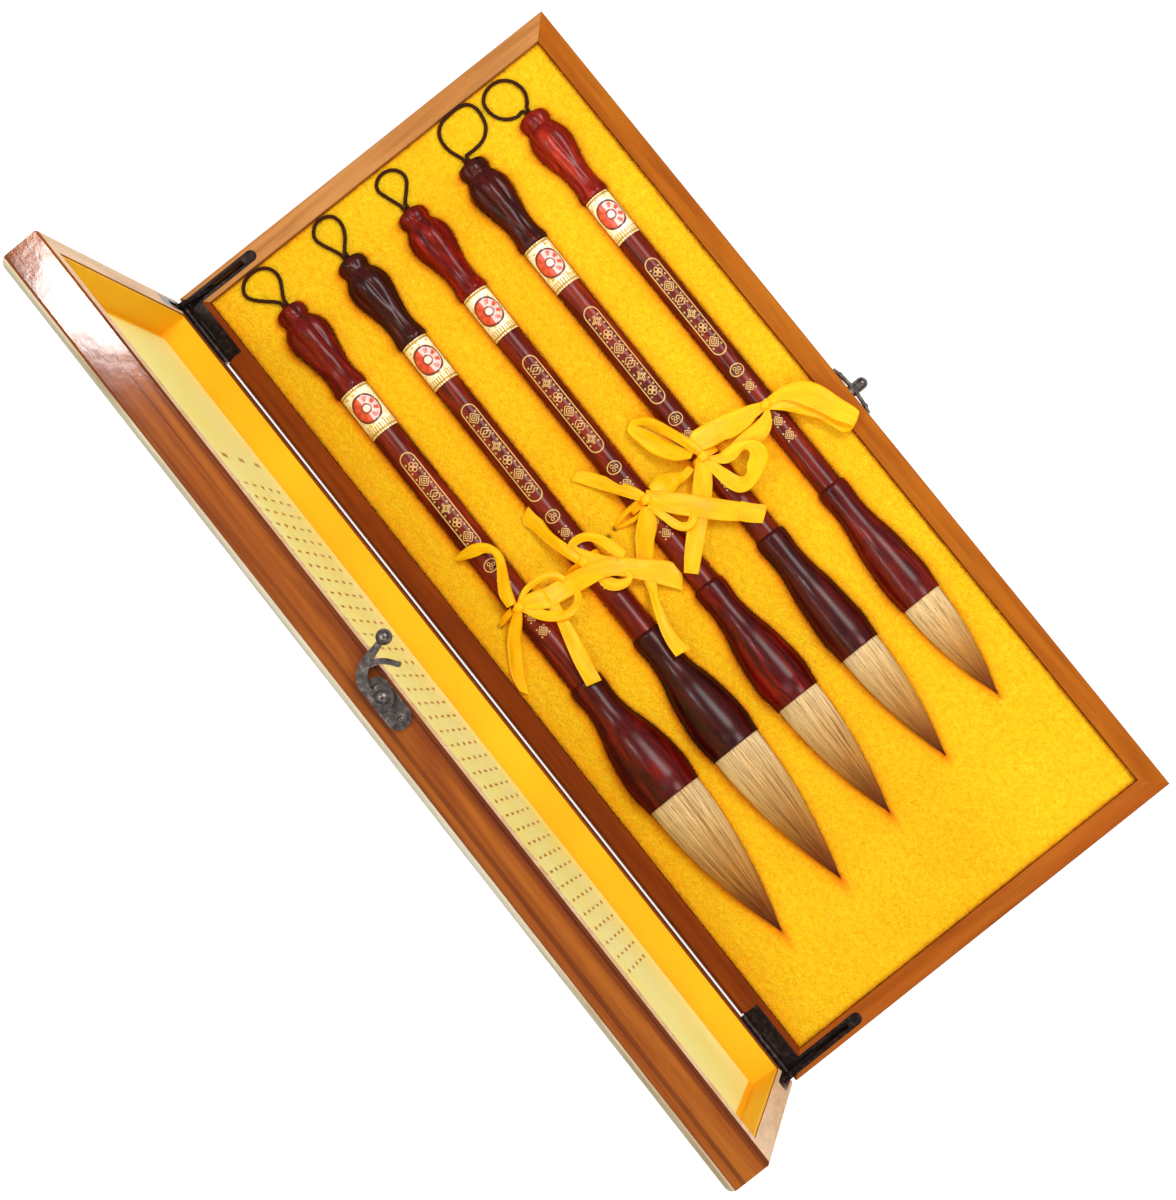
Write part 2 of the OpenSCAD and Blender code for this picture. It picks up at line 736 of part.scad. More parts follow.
// Ferrule radii: part of the length from the shaft's side, then the radius
function ferrule_profile(i) =
  let (collar = shaft_d[i] + collar_step, neck = shaft_d[i] + collar_step * 0.7)
    [
      [0, shaft_d[i] / 2 + 0.3], [0.015, collar / 2 - 0.25], [0.035, collar / 2], [0.09, collar / 2],
      [0.2, neck / 2], [0.35, neck * 0.4 + belly_d[i] * 0.1], [0.5, neck * 0.2 + belly_d[i] * 0.3],
      [0.65, belly_d[i] * 0.467], [0.78, belly_d[i] * 0.497], [0.86, belly_d[i] * 0.497],
      [0.94, belly_d[i] * 0.15 + mouth_d[i] * 0.35], [1, mouth_d[i] / 2]
    ];

function hair_r(i) = mouth_d[i] / 2 - mouth_lip;

// Radius of the tuft at part s of its length, as a part of its root radius
function tuft_shape(s) = s <= 0 ? 1 : pow(1 - pow(min(s, 1), 1.8), 0.95);

// Outline of a whole brush as [x, r], from the hair's tip to the knob's end
function brush_outline(i) = concat(
  [for (s = [1, 0.95, 0.85, 0.7, 0.5, 0.25]) [mouth_x - s * hair_length[i], hair_r(i) * tuft_shape(s)]],
  [for (k = [11:-1:0]) [ferrule_x - ferrule_profile(i)[k][0] * ferrule_length, ferrule_profile(i)[k][1]]],
  [[ferrule_x + 1, shaft_d[i] / 2], [label_x - 0.5, shaft_d[i] / 2 + label_thickness]],
  [for (k = [13:-1:0]) [knob_x - finial_profile(i)[k][0] * finial_length, finial_profile(i)[k][1]]]
);

// Space that brush i and a clearance around it take up, for its bed
module brush_room(i, gap) {
  outline = brush_outline(i);
  tip = outline[0];
  knob = outline[len(outline) - 1];
  translate([0, brush_y(i), axis_z]) rotate([0, 90, 0]) rotate_extrude()
    polygon(concat(
      [[0, tip[0] - 8 - gap], [gap * 0.6, tip[0] - 8]],
      [for (p = outline) [p[1] + gap, p[0]]],
      [[knob[1] + gap * 0.6, knob[0] + gap], [0, knob[0] + gap]]
    ));
}

module along_brush(i, x) {
  translate([x, brush_y(i), axis_z]) rotate([0, 90, 0]) children();
}

LOBES = 8;
LOBE_SIDES = 32;

module brush_finial(i) {
  profile = smooth(finial_profile(i), 1);
  color(redwood) difference() {
    translate([0, brush_y(i), axis_z]) sweep([
      for (p = profile)
        let (depth = lobe_depth * sin(180 * min(1, max(0, p[0] * 1.02))) + 0.12)
          [for (k = [0:LOBE_SIDES - 1])
            let (a = 360 * k / LOBE_SIDES, r = p[1] - depth * (0.5 - 0.5 * cos(LOBES * a)))
              [knob_x - p[0] * finial_length, r * cos(a), r * sin(a)]]
    ]);
    along_brush(i, knob_x - cord_hole_depth) cylinder(d = cord_hole_d, h = cord_hole_depth + 1);
    along_brush(i, label_x - 1)
      cylinder(d = tenon_d + 2 * glue_gap, h = tenon_length + 1 + glue_gap);
  }
}

// Shaft with its tenons and the label sleeve
module brush_shaft(i) {
  color(redwood) {
    along_brush(i, ferrule_x - tenon_length)
      cylinder(d = tenon_d, h = label_x - ferrule_x + 2 * tenon_length);
    along_brush(i, ferrule_x) cylinder(d = shaft_d[i], h = label_x - ferrule_x);
    along_brush(i, shaft_x) cylinder(d = shaft_d[i] + 2 * label_thickness, h = label_length);
  }
}

module brush_ferrule(i) {
  color(redwood) difference() {
    translate([0, brush_y(i), axis_z]) rotate([0, 90, 0]) rotate_extrude() polygon(concat(
      [[0, ferrule_x]],
      [for (p = ferrule_profile(i)) [p[1], ferrule_x - p[0] * ferrule_length]],
      [[0, mouth_x]]
    ));
    along_brush(i, ferrule_x - tenon_length - glue_gap)
      cylinder(d = tenon_d + 2 * glue_gap, h = tenon_length + 1);
    along_brush(i, mouth_x - 1) cylinder(r = hair_r(i) + glue_gap, h = hair_socket + 1);
  }
}

// One strand of hair: rings of three points, drawn in towards the tip
strand_steps = [0.36, 0.68];
root_depth = 5;

module strand(i, ring, turn, finish) {
  place = ring_places[ring];
  stations = concat([-root_depth / hair_length[i]], strand_steps, [finish]);
  sweep([
    for (s = stations)
      let (r = hair_r(i) * tuft_shape(s))
        [for (k = [0:2])
          [mouth_x - s * hair_length[i],
            r * (place * cos(turn) + strand_share * cos(turn + 120 * k)),
            r * (place * sin(turn) + strand_share * sin(turn + 120 * k))]]
  ]);
}

module brush_hair(i) {
  color(hair) {
    along_brush(i, mouth_x + root_depth - 1)
      cylinder(r = hair_r(i), h = hair_socket - root_depth + 1);
    translate([0, brush_y(i), axis_z])
      for (ring = [0:len(strands_per_ring) - 1])
        for (k = [0:strands_per_ring[ring] - 1])
          strand(i, ring, 360 * k / strands_per_ring[ring] + 7 * ring,
            0.925 - 0.045 * ring - 0.03 * ((k * 7) % 5) / 5);
  }
}

// Hanging cords: each route starts and ends at the bottom of the finial's hole.
// Points are [out from the knob's end, across towards the back].
cord_routes = [
  [[2, -0.9], [4, -1.4], [7, -3], [10, -4.6], [13.5, -5.2], [17, -4], [19.4, -1], [20, 3], [19, 7],
    [16.5, 9.6], [13.6, 10.2], [10.4, 8.4], [7.4, 5.4], [4.6, 2.4], [2, 0.9]],
  [[2, -0.9], [4, -1.8], [7, -4.4], [10.5, -6.4], [14, -7], [17.4, -6], [19.4, -3], [19.4, 1],
    [17.2, 4], [14, 5.2], [10, 4], [6, 2.2], [2, 0.9]],
  [[2, -0.9], [4, -1.9], [7, -4.8], [10, -7.2], [13, -7.8], [16, -6.6], [18, -3.8], [18.4, -0.2],
    [16.8, 3], [13.8, 4.4], [10, 3.4], [6, 2], [2, 0.9]],
  [[2, -0.9], [2.6, -3.6], [2.8, -7.6], [4, -11.4], [7, -14.6], [11, -16], [15.4, -16.2], [19, -14.4],
    [20.4, -10.6], [20.4, -6], [19.6, -1.6], [17, 1.8], [13, 3.2], [8.6, 3], [5, 1.8], [2, 0.9]],
  [[2, -0.9], [4.4, -2.6], [7.8, -4.2], [11.6, -4.2], [15.4, -2.6], [18.2, 0.6], [19, 4.6], [18, 8.6],
    [15.2, 11.4], [11.2, 12], [7, 10.8], [3.8, 8], [2.2, 4.4], [2, 0.9]]
];

function cord_points(i) = [
  for (p = concat([[-cord_hole_depth, -0.9]], cord_routes[i], [[-cord_hole_depth, 0.9]]))
    [knob_x + p[0], brush_y(i) + p[1], axis_z]
];

module brush_cord(i) {
  color(cord) tube(smooth(cord_points(i), 1), cord_d, 8);
}

// Ribbons: every bow has its knot on top of a shaft. Points are [along the box
// towards the hair, across towards the back, up from the plush], from the knot.
bow_place = [[16, 0.6], [13, 3], [17, -2], [17, 3], [17, -1.4]];
knot_height = [10, 9.4, 9.2, 9.2, 9];

// The back brush's tail stops short of the back wall by half its width and a gap
back_tail_gap = 2.7;
back_tail = inner_d - back_tail_gap - brush_y(0) - bow_place[0][1];

// The loops and tails of each bow: [points, width, tilt]
bow_strips = [
  [
    [[[1, -2, 10], [5, -10, 8], [7, -17, 3], [9, -22, 2]], ribbon_width, 0],
    [[[2, 0, 10], [9, -3, 9], [15, -8, 6.4], [16, -14, 4.6], [12, -17, 4], [9, -11, 6]], 4, 55],
    [[[-1, 0, 10], [-8, 1, 9.4], [-15, -1, 9.4], [-21, -4, 10], [-27, -2, 10.6], [-31, 5, 8.4]], 5, 30],
    [[[1, 2, 10], [7, 0.4 * back_tail, 6], [14, 0.7 * back_tail, 2.4], [23, 0.9 * back_tail, 1.4],
      [28, back_tail, 2]], 5, 0]
  ],
  [
    [[[2, -1, 9.4], [10, -3, 9], [19, -6, 8.4], [30, -9, 8.6], [41, -9, 9.6]], ribbon_width, 0],
    [[[-1, -1, 9.4], [-7, -5, 8.6], [-7, -11, 5.2], [-1, -14, 3.6], [5, -13, 3]], 4, 55],
    [[[-1, 1, 9.4], [-8, 4, 6], [-16, 7, 2.4], [-26, 7, 1.2]], 5, 0]
  ],
  [
    [[[2, -1, 9.2], [10, -3, 8.8], [17, -7, 7.2], [19, -12, 4.4], [14, -13.6, 3.6]], 4, 50],
    [[[2, 2, 9.2], [11, 3, 8.8], [20, 6, 8.6], [29, 12, 4], [33, 14, 2.4]], ribbon_width, 0],
    [[[-1, 1, 9.2], [-7, 4, 8.6], [-14, 9, 5], [-22, 14, 1.6], [-27, 17, 1.2]], 5, 0]
  ],
  [
    [[[-1, -1, 9.2], [-9, 0, 9], [-18, 3, 8], [-25, 8, 4], [-23, 14, 3], [-14, 15, 3]], 5, 40],
    [[[2, 0, 9.2], [8, 4, 8], [12, 9, 4.4], [10, 13.6, 3], [4, 13.6, 3.4]], 4, 50],
    [[[2, -1, 9.2], [11, -2, 9], [20, -3, 9], [30, -2, 9]], ribbon_width, 0]
  ],
  [
    [[[0, 0.6, 9], [0, -3, 9], [0, -8, 8.4], [4, -14, 6], [12, -18, 5.6], [21, -20, 5.6]], ribbon_width, 0],
    [[[2, 2, 9], [6, 8, 6], [13, 12, 3], [18, 17, 2], [15, 20, 2.2]], 4, 45],
    [[[-1, 2, 9], [-4, 8, 6], [-6, 14, 2.4], [-7, 20, 1.4]], ribbon_width, 0]
  ]
];

function bow_point(i, p) = [bow_place[i][0] - p[0], brush_y(i) + bow_place[i][1] + p[1], plush_z + p[2]];

// Where the ribbon goes down beside the shaft, measured from the brush's axis
function hole_reach(i) = shaft_d[i] / 2 + bed_clearance + plush_thickness + ribbon_hole_d / 2 + 0.9;

module ribbon_holes() {
  for (i = [0:BRUSHES - 1])
    for (side = [-1, 1])
      translate([bow_place[i][0], brush_y(i) + side * hole_reach(i), bottom_thickness])
        cylinder(d = ribbon_hole_d, h = base_height, $fn = HOLE_FN);
}

// The band over the shaft, from one hole to the other
function band_path(i) =
  let (r = shaft_d[i] / 2 + 0.6, h = hole_reach(i), top = axis_above_plush + r)
    smooth([
      [0, -h, -9], [0, -h, -1], [0, -h + 0.4, 1.6], [0, -r, top * 0.62], [0, -r * 0.6, top * 0.94],
      [0, 0, top + 0.1],
      [0, r * 0.6, top * 0.94], [0, r, top * 0.62], [0, h - 0.4, 1.6], [0, h, -1], [0, h, -9]
    ], 2);

module bow_band(i) {
  path = [for (p = band_path(i)) [bow_place[i][0], brush_y(i) + p[1], plush_z + p[2]]];
  sweep([
    for (j = [0:len(path) - 1])
      let (t = tangent(path, j), n = cross([1, 0, 0], t) * ribbon_thickness / 2)
        let (w = path[j][2] < plush_z + 2 ? 1.1 : 1.1 + 0.9 * min(1, (path[j][2] - plush_z - 2) / 4))
          [path[j] + [w, 0, 0] + n, path[j] - [w, 0, 0] + n, path[j] - [w, 0, 0] - n, path[j] + [w, 0, 0] - n]
  ]);
}

module ribbon(i) {
  knot_top = axis_above_plush + shaft_d[i] / 2 + 0.5;
  color(satin) {
    bow_band(i);
    translate([bow_place[i][0], brush_y(i) + bow_place[i][1] / 2, plush_z + knot_top])
      hull() {
        translate([-2.4, -bow_place[i][1] / 2 - 2, 0.3]) cube([4.8, 4 + bow_place[i][1], 1]);
        translate([-1.6, -2.2, 0.3]) cube([3.2, 4.4, knot_height[i] - knot_top + 0.8]);
      }
    for (s = bow_strips[i])
      strip(smooth([for (p = s[0]) bow_point(i, p)], 3), s[1], ribbon_thickness, s[2]);
  }
}

// Insert

module insert_block(from, to) {
  translate([insert_gap - inner_l, insert_gap - inner_d, from])
    cube([2 * (inner_l - insert_gap), 2 * (inner_d - insert_gap), to - from]);
}

module foam_insert() {
  color(foam) difference() {
    insert_block(bottom_thickness, foam_z);
    for (i = [0:BRUSHES - 1]) brush_room(i, bed_clearance + plush_thickness + 0.1);
    ribbon_holes();
  }
}

module plush_cover() {
  color(plush) difference() {
    union() {
      insert_block(foam_z, plush_z);
      intersection() {
        for (i = [0:BRUSHES - 1]) brush_room(i, bed_clearance + plush_thickness);
        insert_block(bottom_thickness, plush_z);
      }
    }
    for (i = [0:BRUSHES - 1]) brush_room(i, bed_clearance);
    ribbon_holes();
  }
}

base_front_wall();
base_back_wall();
base_side_wall(-1);  // base_left_wall
base_side_wall(1);  // base_right_wall
base_bottom();
foam_insert();
plush_cover();
lid_front_wall();
lid_back_wall();
lid_side_wall(-1);  // lid_left_wall
lid_side_wall(1);  // lid_right_wall
lid_top();
lid_lining();
base_leaf(-1);  // hinge_base_leaf_left
base_leaf(1);  // hinge_base_leaf_right
lid_leaf(-1);  // hinge_lid_leaf_left
lid_leaf(1);  // hinge_lid_leaf_right
hinge_pin(-1);  // hinge_pin_left
hinge_pin(1);  // hinge_pin_right
stay_arm(-1);  // stay_arm_left
stay_arm(1);  // stay_arm_right
hinge_screws_base();
hinge_screws_lid();
latch_backplate();
latch_hook();
latch_rivet();
latch_nails();
catch_plate();
catch_stud();
catch_nails();
brush_finial(0);  // brush_1_finial
brush_shaft(0);  // brush_1_shaft
brush_ferrule(0);  // brush_1_ferrule
brush_hair(0);  // brush_1_hair
brush_cord(0);  // brush_1_cord
brush_finial(1);  // brush_2_finial
brush_shaft(1);  // brush_2_shaft
brush_ferrule(1);  // brush_2_ferrule
brush_hair(1);  // brush_2_hair
brush_cord(1);  // brush_2_cord
brush_finial(2);  // brush_3_finial
brush_shaft(2);  // brush_3_shaft
brush_ferrule(2);  // brush_3_ferrule
brush_hair(2);  // brush_3_hair
brush_cord(2);  // brush_3_cord
brush_finial(3);  // brush_4_finial
brush_shaft(3);  // brush_4_shaft
brush_ferrule(3);  // brush_4_ferrule
brush_hair(3);  // brush_4_hair
brush_cord(3);  // brush_4_cord
brush_finial(4);  // brush_5_finial
brush_shaft(4);  // brush_5_shaft
brush_ferrule(4);  // brush_5_ferrule
brush_hair(4);  // brush_5_hair
brush_cord(4);  // brush_5_cord
ribbon(0);  // ribbon_1
ribbon(1);  // ribbon_2
ribbon(2);  // ribbon_3
ribbon(3);  // ribbon_4
ribbon(4);  // ribbon_5
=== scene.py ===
import bpy
import math
import numpy as np
from mathutils import Matrix, Vector


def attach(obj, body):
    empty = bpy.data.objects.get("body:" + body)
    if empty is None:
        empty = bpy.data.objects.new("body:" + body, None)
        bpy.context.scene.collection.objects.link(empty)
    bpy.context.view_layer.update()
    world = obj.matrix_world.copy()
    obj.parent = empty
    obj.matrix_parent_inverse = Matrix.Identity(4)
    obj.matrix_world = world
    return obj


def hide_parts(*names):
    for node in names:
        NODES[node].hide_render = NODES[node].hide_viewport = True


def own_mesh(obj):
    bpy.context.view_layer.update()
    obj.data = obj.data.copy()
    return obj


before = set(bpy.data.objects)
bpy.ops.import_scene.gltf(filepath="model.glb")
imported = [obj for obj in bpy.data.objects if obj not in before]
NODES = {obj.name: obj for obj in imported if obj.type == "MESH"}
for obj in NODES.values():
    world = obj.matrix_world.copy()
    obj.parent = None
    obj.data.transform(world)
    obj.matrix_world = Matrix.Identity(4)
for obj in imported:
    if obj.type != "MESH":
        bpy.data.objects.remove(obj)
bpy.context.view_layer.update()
rng = np.random.default_rng(11)

# Sizes in millimetres, in the CAD frame; brushes 1 to 5 lie from the hinges to the front
PLUSH_Z = 35.6
RIM_Z = 38.0
AXIS_Z = 36.5
INNER_X, INNER_Y = 190.9, 84.9
BRUSH_Y = [61.9, 30.5, -0.9, -32.3, -63.7]
KNOB_X, FINIAL_L, LABEL_L, SHAFT_L, FERRULE_L = 170.0, 44.0, 22.0, 128.5, 58.0
LABEL_X = KNOB_X - FINIAL_L
FERRULE_X = LABEL_X - LABEL_L - SHAFT_L
MOUTH_X = FERRULE_X - FERRULE_L
SHAFT_D = [12, 11, 10.8, 10.8, 10.2]
BULB_D = [17.3, 16.4, 16.4, 15.9, 15.5]
BELLY_D = [26.5, 24, 22.2, 19.8, 19.6]
MOUTH_D = [24.4, 22.2, 19.8, 18.2, 18]
HAIR_L = [68, 66, 58, 54, 48]
KNOB_D = 12.4


# Mesh helpers
def mm(points):
    return np.asarray(points, float) * 0.001


def link(obj):
    bpy.context.scene.collection.objects.link(obj)
    return obj


def make(name, points, faces, material, smooth=True, uv=None):
    """A mesh object from points in millimetres; uv is one (u, v) a point."""
    mesh = bpy.data.meshes.new(name)
    mesh.from_pydata([tuple(p) for p in mm(points)], [], [tuple(int(i) for i in f) for f in faces])
    if uv is not None:
        layer = mesh.uv_layers.new(name="UVMap")
        loops = np.zeros(len(mesh.loops), int)
        mesh.loops.foreach_get("vertex_index", loops)
        layer.data.foreach_set("uv", np.asarray(uv, np.float32)[loops].ravel())
    mesh.materials.append(material)
    mesh.polygons.foreach_set("use_smooth", [smooth] * len(mesh.polygons))
    mesh.update()
    return link(bpy.data.objects.new(name, mesh))


def grid(rows, cols, close=False, start=0, flip=False):
    """Quads over rows of cols points; close joins the last column to the first."""
    r = np.arange(rows - 1)[:, None]
    c = np.arange(cols if close else cols - 1)[None, :]
    n = (c + 1) % cols
    a, b = r * cols + c, r * cols + n
    q = [a, b, b + cols, a + cols]
    if flip:
        q = q[::-1]
    return (np.stack(np.broadcast_arrays(*q), -1).reshape(-1, 4) + start).tolist()


def spline(points, steps):
    """Points of a smooth curve through rows of numbers, steps to a stretch."""
    p = np.asarray(points, float)
    p = np.vstack([2 * p[0] - p[1], p, 2 * p[-1] - p[-2]])
    out = []
    for i in range(1, len(p) - 2):
        a, b, c, d = p[i - 1], p[i], p[i + 1], p[i + 2]
        for t in np.arange(steps) / steps:
            square = 2 * a - 5 * b + 4 * c - d
            cube = 3 * b - a - 3 * c + d
            out.append(0.5 * (2 * b + (c - a) * t + square * t**2 + cube * t**3))
    out.append(p[-2])
    return np.array(out)


def table(x, y):
    """A smooth curve through the pairs, for turned profiles."""
    pts = spline(np.stack([np.asarray(x, float), np.asarray(y, float)], 1), 12)
    order = np.argsort(pts[:, 0])
    px, py = pts[order, 0], pts[order, 1]
    return lambda q: np.interp(q, px, py)


def noise3(p, scale, seed=0):
    """Smooth value noise from -1 to 1 at points (n, 3), with features of about 1 / scale."""
    p = np.asarray(p, float) * scale + seed * 17.3
    base = np.floor(p).astype(np.int64)
    f = p - base
    f = f * f * (3 - 2 * f)
    total = np.zeros(len(p))
    for corner in np.ndindex(2, 2, 2):
        hx, hy, hz = (base + corner).T
        h = hx * 374761393 + hy * 668265263 + hz * 2147483647
        h = (h ^ (h >> 13)) * 1274126177
        value = ((h ^ (h >> 16)) & 0xFFFF) / 32767.5 - 1
        weight = [f[:, k] if corner[k] else 1 - f[:, k] for k in range(3)]
        total += weight[0] * weight[1] * weight[2] * value
    return total


def lin(r, g, b):
    """A colour given in sRGB from 0 to 255, as linear values."""
    def one(c):
        c /= 255.0
        return c / 12.92 if c <= 0.04045 else ((c + 0.055) / 1.055) ** 2.4
    return (one(r), one(g), one(b), 1.0)


def grey(v):
    return (v, v, v, 1)


# Material helpers
def plug(links, value, socket):
    """Links a socket to socket, or sets a constant there."""
    if isinstance(value, bpy.types.NodeSocket):
        links.new(value, socket)
    else:
        socket.default_value = value


class Shader:
    def __init__(self, name):
        self.mat = bpy.data.materials.new(name)
        self.mat.use_nodes = True
        self.nodes = self.mat.node_tree.nodes
        self.links = self.mat.node_tree.links
        self.bsdf = self.nodes["Principled BSDF"]

    def add(self, kind, inputs=(), **props):
        n = self.nodes.new(kind)
        for k, v in props.items():
            setattr(n, k, v)
        for k, v in dict(inputs).items():
            plug(self.links, v, n.inputs[k])
        return n

    def set(self, **values):
        for k, v in values.items():
            plug(self.links, v, self.bsdf.inputs[k.replace("_", " ")])

    def coords(self, scale=(1, 1, 1), source="Object", location=(0, 0, 0)):
        c = self.add("ShaderNodeTexCoord").outputs[source]
        return self.add("ShaderNodeMapping", {"Vector": c, "Scale": scale, "Location": location}).outputs[0]

    def noise(self, vector, scale, detail=4.0, rough=0.5, distortion=0.0):
        values = {"Vector": vector, "Scale": scale, "Detail": detail, "Roughness": rough}
        return self.add("ShaderNodeTexNoise", {**values, "Distortion": distortion}).outputs["Fac"]

    def ramp(self, fac, *stops):
        r = self.add("ShaderNodeValToRGB", {"Fac": fac})
        e = r.color_ramp.elements
        while len(e) < len(stops):
            e.new(1.0)
        for el, (pos, col) in zip(e, stops):
            el.position = pos
            el.color = col
        return r.outputs["Color"]

    def mix(self, fac, a, b, blend="MIX"):
        m = self.add("ShaderNodeMix", data_type="RGBA", blend_type=blend)
        for key, v in ((0, fac), (6, a), (7, b)):
            plug(self.links, v, m.inputs[key])
        return m.outputs[2]

    def times(self, fac, a, b):
        return self.mix(fac, a, b, "MULTIPLY")

    def math(self, op, a, b=0.0, c=0.0):
        return self.add("ShaderNodeMath", {0: a, 1: b, 2: c}, operation=op).outputs[0]

    def bump(self, height, strength=0.3, distance=0.001):
        values = {"Height": height, "Strength": strength, "Distance": distance}
        return self.add("ShaderNodeBump", values).outputs["Normal"]


def wood(name, axis, light, mid, dark, rough=0.5, lines=0.0, coat=0.0, seam=None):
    """Straight-grained board with its grain along axis (0, 1 or 2). seam is the Y of one dark line."""
    s = Shader(name)

    def grain(along, across):
        return tuple(along if k == axis else across for k in range(3))

    broad = s.noise(s.coords(grain(2.2, 26)), 5.0, 5, 0.55, 0.6)
    rings = s.noise(s.coords(grain(7.04, 83.2)), 4.2, 6, 0.62, 0.35)
    pores = s.noise(s.coords(grain(12, 420)), 1.6, 3, 0.6)
    col = s.ramp(broad, (0.28, dark), (0.5, mid), (0.72, light))
    col = s.times(0.6, col, s.ramp(rings, (0.36, grey(0.74)), (0.52, grey(0.97)), (0.7, grey(1.04))))
    col = s.times(0.35, col, s.ramp(pores, (0.35, grey(0.74)), (0.47, grey(1.0))))
    if lines:
        long = s.noise(s.coords(grain(0.9, 62)), 1.9, 5, 0.6, 0.5)
        tones = s.ramp(long, (0.40, lin(160, 116, 70)), (0.455, lin(222, 196, 160)),
                       (0.53, grey(1.0)), (0.66, lin(255, 240, 214)))
        col = s.times(lines, col, tones)
        thin = s.noise(s.coords(grain(0.7, 190)), 1.7, 3, 0.5, 0.3)
        col = s.times(0.8 * lines, col, s.ramp(thin, (0.355, lin(140, 90, 46)), (0.40, grey(1.0))))
    if seam:
        s.set(Coat_Normal=s.bump(s.noise(s.coords(), 150, 3, 0.55), 0.035, 0.001))
        y = s.add("ShaderNodeSeparateXYZ", {"Vector": s.coords()}).outputs[1]
        wander = s.noise(s.coords((1, 0, 0)), 9.0, 3, 0.5)
        wander = s.math("MULTIPLY_ADD", wander, 0.004, -0.002 - seam)
        off = s.math("MULTIPLY", s.math("ABSOLUTE", s.math("ADD", wander, y)), 500.0)
        col = s.times(0.85, col, s.ramp(off, (0.1, lin(136, 86, 44)), (0.95, grey(1.0))))
    s.set(Base_Color=col, Roughness=s.math("MULTIPLY_ADD", rings, 0.16, rough - 0.08))
    s.set(Specular_IOR_Level=0.07, Coat_Weight=coat, Coat_Roughness=0.09)
    s.set(Normal=s.bump(s.math("MULTIPLY_ADD", pores, 0.4, rings), 0.22, 0.0006))
    return s.mat


def turned_wood(name, light, mid, dark, rough=0.3, seed=0.0):
    """Polished dark hardwood with streaks along X."""
    s = Shader(name)
    broad = s.noise(s.coords((9, 60, 60), location=(seed, seed * 0.7, 0)), 3.2, 5, 0.6, 1.2)
    fine = s.noise(s.coords((16, 260, 260), location=(seed, 0, seed)), 2.5, 5, 0.6, 0.4)
    col = s.ramp(broad, (0.30, dark), (0.50, mid), (0.68, light))
    col = s.times(0.55, col, s.ramp(fine, (0.36, grey(0.42)), (0.56, grey(1.0)), (0.75, grey(1.18))))
    s.set(Base_Color=col, Roughness=s.math("MULTIPLY_ADD", fine, 0.14, rough - 0.03))
    s.set(Specular_IOR_Level=0.0, Coat_Weight=0.07, Coat_IOR=3.4, Coat_Roughness=0.25)
    s.set(Normal=s.bump(fine, 0.10, 0.0004))
    return s.mat


def dark_metal(name, low, mid, high):
    """Blackened metal with a little rust."""
    s = Shader(name)
    n = s.noise(s.coords(), 420, 5, 0.6)
    w = s.noise(s.coords(), 90, 4, 0.6)
    col = s.ramp(n, (0.32, low), (0.52, mid), (0.74, high))
    col = s.mix(s.ramp(w, (0.55, grey(0)), (0.8, grey(0.2))), col, lin(84, 56, 36))
    s.set(Base_Color=col, Roughness=s.math("MULTIPLY_ADD", n, 0.2, 0.2), Metallic=0.85)
    s.set(Normal=s.bump(n, 0.22, 0.0003))
    return s.mat


def plush_material():
    """Short pile; two attributes of the mesh paint shade into its colour: orange at the rims of the troughs,
    by the tip creases and along the walls, and dark brown in the holes.
    """
    s = Shader("plush_yellow")
    v = s.coords()
    big = s.noise(v, 24, 4, 0.6)
    loops = s.add("ShaderNodeTexVoronoi", {"Vector": v, "Scale": 820.0}, feature="F1").outputs["Distance"]
    tiny = s.noise(v, 1500, 3, 0.7)
    spot = s.noise(v, 420, 4, 0.65)
    col = s.ramp(spot, (0.30, lin(238, 180, 18)), (0.48, lin(243, 199, 27)), (0.66, lin(248, 212, 40)))
    col = s.mix(0.30, col, s.ramp(big, (0.35, lin(238, 184, 16)), (0.65, lin(246, 208, 36))))
    col = s.times(0.45, col, s.ramp(tiny, (0.35, lin(232, 186, 110)), (0.6, grey(1.08))))
    # Painted shade from the mesh: orange where the pile lies in shade beside brushes and walls, dark brown
    # down in the ribbon holes
    for key, tint in (("warm", lin(248, 112, 2)), ("deep", lin(96, 40, 4))):
        col = s.mix(s.add("ShaderNodeAttribute", attribute_name=key).outputs["Fac"], col, tint)
    s.set(Base_Color=col, Roughness=0.95, Specular_IOR_Level=0.1)
    s.set(Subsurface_Weight=0.65, Subsurface_Radius=(1.0, 0.4, 0.04), Subsurface_Scale=0.0028)
    s.set(Normal=s.bump(s.math("MULTIPLY_ADD", tiny, 0.6, loops), 0.6, 0.001))
    return s.mat


def satin_material():
    s = Shader("satin_yellow")
    weave = s.noise(s.coords((60, 900, 1), "UV"), 1.0, 2, 0.5)
    # Painted crease shade and highlight: orange to yellow over a noise along the strip
    folds = s.noise(s.coords((5, 22, 1), "UV"), 1.0, 3, 0.5)
    col = s.ramp(folds, (0.28, lin(255, 168, 0)), (0.5, lin(255, 186, 3)), (0.74, lin(255, 200, 12)))
    s.set(Base_Color=col, Roughness=s.math("MULTIPLY_ADD", weave, 0.12, 0.34), Specular_IOR_Level=0.2)
    s.set(Subsurface_Weight=0.5, Subsurface_Radius=(1.0, 0.5, 0.05), Subsurface_Scale=0.002)
    # Painted light: the satin glows a little orange, which keeps its shaded creases orange
    s.set(Emission_Color=(1.0, 0.15, 0.0, 1.0), Emission_Strength=0.15)
    s.set(Normal=s.bump(weave, 0.08, 0.0002))
    return s.mat


